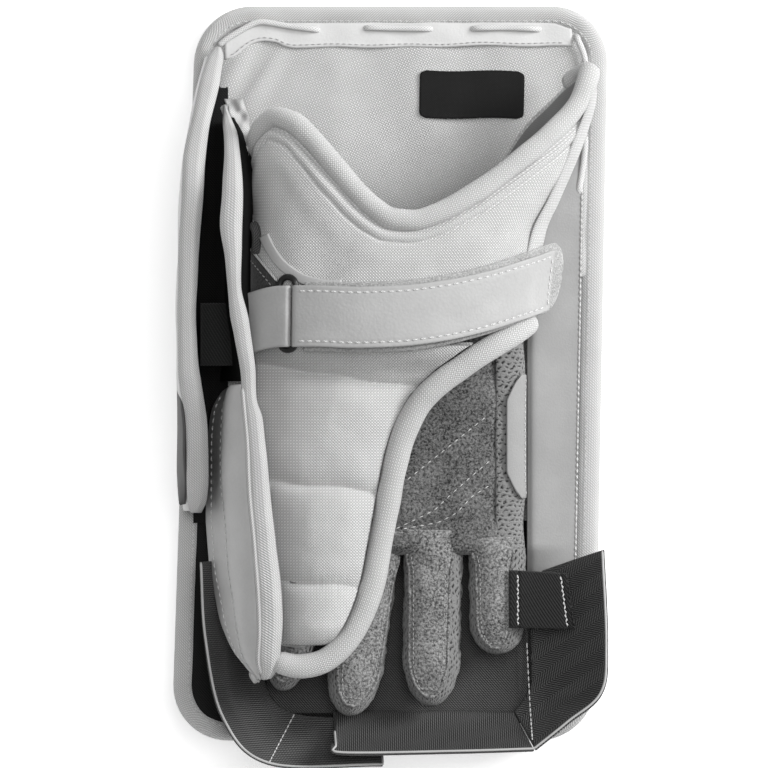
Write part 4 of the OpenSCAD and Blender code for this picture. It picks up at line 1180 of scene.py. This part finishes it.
def make_quilt():
    ys = np.linspace(-108.5, 17.4, 230)
    us = np.linspace(0, 1, 64)
    left = INNER["right"](ys) - 1.5
    grid = np.zeros((len(us), len(ys), 3))
    grid[..., 0] = mix(left[None], quilt_right(ys)[None] + 0.6, us[:, None])
    grid[..., 1] = ys[None]
    grid[..., 2] = quilt_surface(grid[..., 0], grid[..., 1], us[:, None])
    grid[..., 2] += rough(grid, 16, 0.9, 2.0) + rough(grid, 5, 0.18, 7.0)
    for y0, slope, _ in QUILT_SEAMS:
        away = grid[..., 1] - (y0 + slope * (grid[..., 0] + 25))
        stretched = grid * np.array([1.0, 0.22, 0.0])
        grid[..., 2] += rough(stretched, 1.5, 0.45, y0) * np.exp(-np.abs(away) / 3.4)
    quilt = panel("thumb_quilt_cloth", grid, 4.4, CLOTH, up=facing_out(grid), round_edge=1.2,
                  grain=turned(grid[..., :2], 45))
    settle(quilt, replaces=["thumb_quilt", "cuff_skirt"],
           across=GUARD_BEND)

    route = smooth([
        (59, 27.5, 58), (56, 24.6, 63), (50.5, 20.6, 67.6), (44, 16.8, 70.4), (36, 11.8, 71.8),
        (29, 6.8, 71.8), (22.4, 2.2, 71.4), (15.5, -3.9, 70.6), (10.5, -10.5, 69.4), (5.5, -21, 67.8),
        (2, -34, 66.8), (-1, -50, 65.6), (-4, -66, 64.8), (-7, -82, 64.6), (-12, -96, 64.3),
        (-18.5, -107, 64.1), (-27, -114.2, 64), (-36, -116.6, 64), (-43.5, -115.6, 64.5),
        (-48.5, -112.8, 65.5)], 8)
    route = even(route, 1.6)
    size = THUMB_ROLL_R + 0.25 + rough(route, 14, 0.4, 3.0)
    roll = tube("thumb_guard_roll", route, size, ROLL_CLOTH, sides=26, flat=0.9, turn=45)
    settle(roll, replaces=["thumb_roll", "skirt_roll"],
           across=GUARD_BEND)


# ---- Palm side ----

def palm_height(x, lift):
    """Height of the palm's low arch, which runs across the hand."""
    u = (x - PALM_LEFT) / (PALM_RIGHT - PALM_LEFT)
    return PALM_Z + lift + PALM_ARCH * np.sin(math.pi * np.clip(u, 0, 1))


def palm_grid(xs, ys):
    grid = np.zeros((len(xs), len(ys), 3))
    grid[..., 0], grid[..., 1] = xs[:, None], ys[None]
    grid[..., 2] = palm_height(grid[..., 0], 1.6)
    return grid


def palm_dip(grid):
    """Soft folds of the palm: a crease above the finger roots and a hollow in the middle."""
    x, y = grid[..., 0], grid[..., 1]
    crease = -2.6 * bump_at(y, -59 + 0.13 * (x - 10), 3.2) * np.clip((34 - x) / 20, 0, 1)
    crease += 1.5 * bump_at(y, -66 + 0.1 * x, 4.0)
    hollow = -3.0 * bump_at(x, 8, 15) * bump_at(y, -24, 22)
    edge = -1.6 * np.clip((x - PALM_RIGHT + 5) / 5, 0, 1) ** 2
    return crease + hollow + edge + rough(grid, 15, 1.3, 5.5)


def make_palm():
    xs = np.linspace(-39.5, PALM_RIGHT + 0.6, 110)
    ys = np.linspace(PALM_FOOT - 3.2, 25.5, 120)
    grid = palm_grid(xs, ys)
    grid[..., 2] += palm_dip(grid)
    fall = np.clip((PALM_FOOT + 0.5 - grid[..., 1]) / 4, 0, 1)
    grid[..., 2] -= 5 * fall**2
    palm = panel("palm_suede_sheet", grid, 1.5, SUEDE, up=facing_out(grid))
    settle(palm, replaces=["palm_suede"])
    lines = [
        [(7, -39.7), (41, -12.5)],
        [(2.1, -60.2), (13.4, -54.8), (18.4, -52.3), (25, -46), (35, -37.2), (43, -30.5)],
        [(5, -60.2), (20.5, -57.3), (27.6, -53.5), (34.3, -46.4), (43, -41)],
    ]
    for k, line in enumerate(lines):
        path = even(np.column_stack([np.array(line), np.zeros(len(line))]), 1.5)
        sheet = palm_grid(path[:, 0], path[:, 1])
        path[:, 2] = np.diagonal(sheet[..., 2] + palm_dip(sheet)) + 0.1
        sew(f"palm_stitching_{k + 1}", path, (0, 0, 1), pitch=3.6, length=2.0, r=0.22)
    make_gusset()
    make_side_pad()


def make_gusset():
    angles = np.radians(np.linspace(-6, 122, 22))
    ys = np.linspace(PALM_FOOT - 1.5, 23.5, 60)
    grid = np.zeros((len(angles), len(ys), 3))
    r = 9.8 + 0.35 * np.sin(ys / 4.1)
    grid[..., 0] = PALM_RIGHT + 0.2 + np.sin(angles)[:, None] * r[None] * 1.12
    grid[..., 1] = ys[None]
    grid[..., 2] = PALM_Z - 8 + np.cos(angles)[:, None] * r[None]
    grid[..., 2] += rough(grid, 7, 0.7, 1.5)
    gusset = panel("side_knit_gusset", grid, 1.4, KNIT, up=facing_out(grid[:8]))
    settle(gusset, replaces=["side_gusset"])

    ys = np.linspace(-47.5, 4.5, 40)
    end = np.clip(np.minimum(ys + 47.5, 4.5 - ys) / 11, 0, 1) ** 0.8
    grid = np.zeros((12, len(ys), 3))
    t = np.linspace(0, 1, 12)
    left = mix(55.0, 48.6, end)
    grid[..., 0] = mix(left[None], np.full(len(ys), 57.2)[None], t[:, None])
    grid[..., 1] = ys[None]
    a = np.arcsin(np.clip((grid[..., 0] - PALM_RIGHT - 0.2) / 12.6, -1, 1))
    grid[..., 2] = PALM_Z - 8 + np.cos(a) * 11.4 + 0.5
    grid[..., 2] = np.maximum(grid[..., 2], 39.4)
    settle(panel("side_trim_tab", grid, 0.9, GREY_LEATHER, up=facing_out(grid)),
           replaces=["trim_tab"])
    sew("trim_tab_stitching", grid[-2, 1:-1] + [0, 0, 0.05], (0.3, 0, 1), pitch=2.6, length=1.8, r=0.22)


def make_side_pad():
    """Smooth leather over the little-finger side pad, up to where it narrows beside the cuff."""
    ys = np.linspace(-80, 108, 110)
    t = np.linspace(0, 1, 30)
    right = board_middle(ys) + (BOARD_W / 2) * (1 - BOARD_SPREAD * ys) - 9.6
    left = np.interp(ys, [-80, 40, 62, 84, 108], [57.2, 57.2, 60.5, 70, 78.5])
    high = np.interp(ys, [-80, -68, 44, 66, 90, 108], [30, 37.4, 37.0, 33, 27.5, 25.5])
    grid = np.zeros((len(t), len(ys), 3))
    grid[..., 0] = mix(left[None], right[None], t[:, None])
    grid[..., 1] = ys[None]
    fall = 1 - np.clip((t - 0.08) / 0.92, 0, 1) ** 1.2
    grid[..., 2] = mix(LIP_Z + 0.6, high[None], fall[:, None]) - 2.0 * bump_at(t, 0.0, 0.1)[:, None]
    grid[..., 2] += rough(grid, 34, 0.9, 6.0)
    settle(panel("side_pad_leather", grid, 1.6, SIDE_LEATHER, up=facing_out(grid)),
           replaces=["side_leather_panel"])
    row = grid[-1, :] + [-0.2, 0, 0.5]
    sew("side_pad_stitching", row, (0.2, 0, 1), pitch=2.5, length=2.1, r=0.5)


# ---- Fingers ----

FINGERS = {
    "index": ((-30.5, -69, 34.5), (-46, -128, 34.5), 19.6, 15.4),
    "middle": ((-8, -69, 37.2), (-17.5, -138.5, 37.2), 24.4, 21.0),
    "ring": ((18.2, -69, 37.6), (17, -134.5, 37.6), 24.8, 21.6),
    "little": ((44.6, -69, 37), (45, -112.8, 37), 23.8, 20.4),
}

# How far each suede face reaches round its finger, in degrees, to the left and to the right.
FACE_SIDES = {"index": (50, 50), "middle": (34, 54), "ring": (46, 31), "little": (42, 27)}


def girth(t):
    """A finger's girth at t along its length: nearly straight, then round at the tip."""
    tip = 0.966 * np.sqrt(np.maximum(0.004, 1 - ((t - 0.68) / 0.32) ** 2))
    return np.where(t < 0.68, 1 - 0.05 * t, tip)


def finger_ring(root, tip, w, h, t, angles, grow=0.0):
    d = np.array(tip) - np.array(root)
    side = np.cross(d, (0, 0, 1))
    side /= np.linalg.norm(side)
    if side[0] < 0:
        side = -side
    g = float(girth(np.array(t)))
    return (np.array(root) + d * t + side * ((w / 2) * g + grow) * np.cos(angles)[:, None]
            + np.array([0, 0, 1]) * ((h / 2) * g + grow) * np.sin(angles)[:, None])


def make_finger(name):
    root, tip, w, h = FINGERS[name]
    body = f"{name}_finger"
    seed = {"index": 1.0, "middle": 2.0, "ring": 3.0, "little": 4.0}[name]
    tip_ts = 0.68 + 0.32 * np.sin(np.linspace(0.03, math.pi / 2, 18))
    ts = np.concatenate([np.linspace(-0.015, 0.66, 40), tip_ts])
    angles = np.linspace(0, 2 * math.pi, 53)
    grid = np.array([finger_ring(root, tip, w, h, t, angles, 0) for t in ts])
    grow = rough(grid, 6, 0.8, seed) + rough(grid, 2.2, 0.5, seed + 4)
    grow[:, -1] = grow[:, 0]
    ease = np.clip((ts + 0.015) / 0.12, 0.2, 1) * np.clip((1 - ts) / 0.1, 0.1, 1)
    away = grid - grid.mean(axis=1, keepdims=True)
    away /= np.maximum(np.linalg.norm(away, axis=-1, keepdims=True), 1e-6)
    grid = grid + away * (grow * ease[:, None])[..., None]
    stall = make_piece(f"{name}_stall_knit", grid.reshape(-1, 3), grid_faces(*grid.shape[:2]),
                       grain_of(grid).reshape(-1, 2).tolist(), KNIT)
    thicken(stall, 1.2)
    settle(stall, body, [f"{name}_stall"])

    # The suede face, from over the palm's edge to the finger's tip; its two sides reach round differently.
    face_ts = np.linspace(-0.13 if name != "index" else -0.05, 0.93, 70)
    left_half, right_half = FACE_SIDES[name]
    shrink = table([(-0.2, 1.25), (0.03, 1.18), (0.16, 1.0), (0.7, 0.96), (0.84, 0.8), (0.91, 0.5),
                    (0.935, 0.2)])
    rows = []
    for t in face_ts:
        f = float(shrink(t))
        around = math.pi / 2 + np.radians(np.linspace(left_half * f, -right_half * f, 26))
        row = finger_ring(root, tip, w, h, max(t, 0.0), around, 1.3)
        if t < 0:
            row = row + (np.array(tip) - np.array(root)) * t
        rows.append(row)
    face = np.array(rows)
    face[..., 2] += rough(face, 8, 0.9, seed + 2) * np.clip((1 - face_ts) / 0.2, 0.1, 1)[:, None]
    if name != "index":
        into = np.clip((FINGER_JOINT_Y - 1 - face[..., 1]) / -8, 0, 1)
        palm_z = palm_height(face[..., 0], 1.9)
        face[..., 2] = mix(face[..., 2], np.clip(face[..., 2], palm_z - 0.2, palm_z + 0.6), into)
    bend = ("root", body, (root[0], -64, 48), (root[0], -76, 48))
    skin = panel(f"{name}_face_suede", face, 1.1, FINGER_SUEDE, up=facing_out(face))
    settle(skin, replaces=[f"{name}_face"], across=bend)
    rim = np.vstack([face[9:, 0], face[-1, 1:-1], face[9:, -1][::-1]])
    rim = even(rim, 0.9)
    rim[:, 2] += 0.1
    welt = tube(f"{name}_seam_welt", rim, 0.6 + rough(rim, 1.8, 0.45, seed), FINGER_SUEDE, sides=8)
    settle(welt, across=bend)
    inner = np.vstack([face[11:-3, 3], face[-4, 4:-4], face[11:-3, -4][::-1]])
    sew(f"{name}_face_stitching", even(inner, 1.0) + [0, 0, 0.15], (0, 0, 1), DARK_THREAD, pitch=2.0,
        length=1.3, r=0.2, lift=0.0, across=bend)


def make_elastic():
    path = table([(49.5, 49.6), (55, 48.6), (60, 47.4), (66, 46.4), (72.5, 45.6)])
    xs = np.linspace(49.8, 74, 50)
    grid = np.zeros((len(xs), 24, 3))
    t = np.linspace(0, 1, 24)
    low, high = np.interp(xs, [49, 74], [-101.2, -102.0]), np.interp(xs, [49, 74], [-77.0, -78.5])
    grid[..., 0] = xs[:, None] + 3.2 * (1 - t[None]) * np.clip((xs[:, None] - 58) / 14, 0, 1)
    grid[..., 1] = mix(low[:, None], high[:, None], t[None])
    grid[..., 2] = path(xs)[:, None] + 0.5 * np.sin(math.pi * t)[None]
    grid[..., 2] -= 0.8 * (bump_at(xs, 53.4, 0.6) + bump_at(xs, 71.2, 0.6))[:, None]
    up = facing_out(grid)
    bend = ("root", "little_finger", (68, -88, 45), (51, -88, 48))
    settle(panel("finger_elastic_band", grid, 1.5, ELASTIC, up=up),
           replaces=["finger_elastic"], across=bend)
    for k, at in enumerate((53.4, 71.2)):
        i = int(np.argmin(np.abs(xs - at)))
        row = even(grid[i, 1:-1], 0.8) + [0, 0, 0.5]
        row[:, 0] += 0.3 * np.sin(np.arange(len(row)) * 1.9)
        sew(f"finger_elastic_stitching_{k + 1}", row, (0, 0, 1), pitch=1.9, length=1.8, r=0.38,
            across=bend)


# ---- Finger tray ----

def tray_wall(name, foot, rim, node, seed, material=None, turn=0.0):
    t = np.linspace(0, 1, 16)
    grid = mix(foot[:, None], rim[:, None], t[None, :, None])
    grid[..., 2] += -5 * np.sin(math.pi * t)[None] + 1.7
    grid[..., 2] += rough(grid, 26, 1.8, seed) * np.sin(math.pi * t)[None]
    piece = panel(name, grid, 1.6, material or BLACK_TWILL, up=facing_out(grid),
                  grain=turned(grid[..., :2], turn))
    settle(piece, replaces=[node])
    return grid


def make_tray():
    low, high = box_mm("tray_floor")
    xs, ys = np.linspace(low[0], high[0], 40), np.linspace(low[1] - 2, high[1], 30)
    grid = np.zeros((40, 30, 3))
    grid[..., 0], grid[..., 1] = xs[:, None], ys[None]
    grid[..., 2] = high[2] + 0.2 + rough(grid, 20, 0.6, 2.0)
    floor = panel("tray_floor_cloth", grid, 1.5, BLACK_TWILL, up=facing_out(grid), grain=grid[..., :2])
    settle(floor, replaces=["tray_floor"])

    foot = smooth([(52, -137, TRAY_FOOT_Z), (56, -132, TRAY_FOOT_Z), (58.8, -126, TRAY_FOOT_Z),
                   (59, -112, TRAY_FOOT_Z), (58, -80, TRAY_FOOT_Z)], 12)
    rim = smooth([(60, -151.5, 48), (74, -140.2, 49), (87.8, -128.0, 50), (90, -108, 51),
                  (88.4, -68.6, 50)], 12)
    right = tray_wall("tray_right_cloth", foot, rim, "tray_right_wall", 1.0, TRAY_CHEVRON, -35)
    foot = smooth([(-24, -136.6, TRAY_FOOT_Z), (0, -136.8, TRAY_FOOT_Z),
                   (25, -136.8, TRAY_FOOT_Z), (52, -137.2, TRAY_FOOT_Z)], 10)
    rim = smooth([(-22.6, -150.0, 47), (-19.5, -153.0, 49.5), (28, -152.4, 49.5), (60, -151.5, 48)], 10)
    front = tray_wall("tray_front_cloth", foot, rim, "tray_front_wall", 2.0, turn=40)
    foot = smooth([(-52.6, -72, TRAY_FOOT_Z), (-52.6, -100, TRAY_FOOT_Z), (-52, -126, TRAY_FOOT_Z),
                   (-40, -138, 25.2), (-4, -139.8, 24.6)], 12)
    rim = smooth([(-79, -74, 38), (-77, -106, 40), (-69.5, -139, 42), (-50.5, -157.8, 41),
                  (-3, -158.6, 38)], 12)
    left = tray_wall("tray_left_cloth", foot, rim, "tray_left_wall", 3.0, turn=-50)

    # The right piping follows both rims, then turns down the front flap's left end.
    line = np.vstack([right[::-1, -1], front[::-1, -1]])
    line = np.vstack([line, front[0, -2:-8:-1]])
    trims = [("tray_piping_right", even(line, 1.2)),
             ("tray_piping_left", even(np.vstack([left[:, -1], left[-1, -2:-6:-1]]), 1.2))]
    for name, path in trims:
        piece = tube(name, path + [0, 0, -0.4], 0.5, PIPING, sides=10)
        settle(piece, replaces=["tray_piping"])
    under = np.vstack([g.reshape(-1, 3) for g in (right, front, grid)])
    seam = even([(57.4, -108, 0), (58.4, -128, 0), (59.4, -148.5, 0)], 1.0)
    for point in seam:
        near = np.linalg.norm(under[:, :2] - point[:2], axis=1)
        point[2] = under[near < near.min() + 1.6][:, 2].max() + 0.25
    sew("tray_seam_right", seam, (0, 0, 1), pitch=2.8, length=2.4, r=0.34)
    corner = int(len(left) * 0.74)
    sew("tray_seam_left", even(left[corner] + [0, 0, 0.2], 1.0), (0, 0, 1), pitch=2.4, length=2.1, r=0.32)


# ---- Camera, light and floor ----

def make_stage():
    scene = bpy.context.scene
    scene.view_settings.view_transform = "Standard"
    scene.view_settings.look = "None"
    centre, distance, width = (-2.5 * MM, 0.4 * MM, 0.04), 3.0, 0.321
    camera = bpy.data.objects.new("camera", bpy.data.cameras.new("camera"))
    camera.data.sensor_width = 36
    camera.data.lens = 36 * distance / width
    camera.data.clip_end = 20
    camera.location = (centre[0], centre[1], centre[2] + distance)
    scene.collection.objects.link(camera)
    scene.camera = camera

    mesh = bpy.data.meshes.new("floor")
    mesh.from_pydata([(-3, -3, 0), (3, -3, 0), (3, 3, 0), (-3, 3, 0)], [], [(0, 1, 2, 3)])
    floor = bpy.data.objects.new("floor", mesh)
    floor.location.z = -0.0006
    n = Nodes("floor", (0.96, 0.96, 0.96), 0.9, specular=0.1)
    n.shader.inputs["Emission Color"].default_value = (1, 1, 1, 1)
    n.shader.inputs["Emission Strength"].default_value = 0.45
    n.colour(n.ramp(n.noise(400, 2.0), (0.95, 0.95, 0.95), (0.97, 0.97, 0.97)))
    mesh.materials.append(n.material)
    scene.collection.objects.link(floor)

    world = bpy.data.worlds.new("world")
    world.use_nodes = True
    world.node_tree.nodes["Background"].inputs[0].default_value = (1, 1, 1, 1)
    world.node_tree.nodes["Background"].inputs[1].default_value = 0.24
    scene.world = world
    lamps = [("key", (1.7, 0.8, 1.1), 0.8, 42), ("top", (0.2, 0.3, 2.4), 1.2, 25)]
    for name, place, size, power in lamps:
        data = bpy.data.lights.new(name, "AREA")
        data.size, data.energy = size, power
        lamp = bpy.data.objects.new(name, data)
        lamp.location = place
        lamp.rotation_euler = (Vector((0, 0, 0.03)) - Vector(place)).to_track_quat("-Z", "Y").to_euler()
        scene.collection.objects.link(lamp)


make_stage()
make_board()
make_lacing()
make_label()
make_cuff()
make_strap()
make_outer_panel()
make_inner_wall()
make_thumb_plate()
make_quilt()
make_palm()
for finger in FINGERS:
    make_finger(finger)
make_elastic()
make_tray()
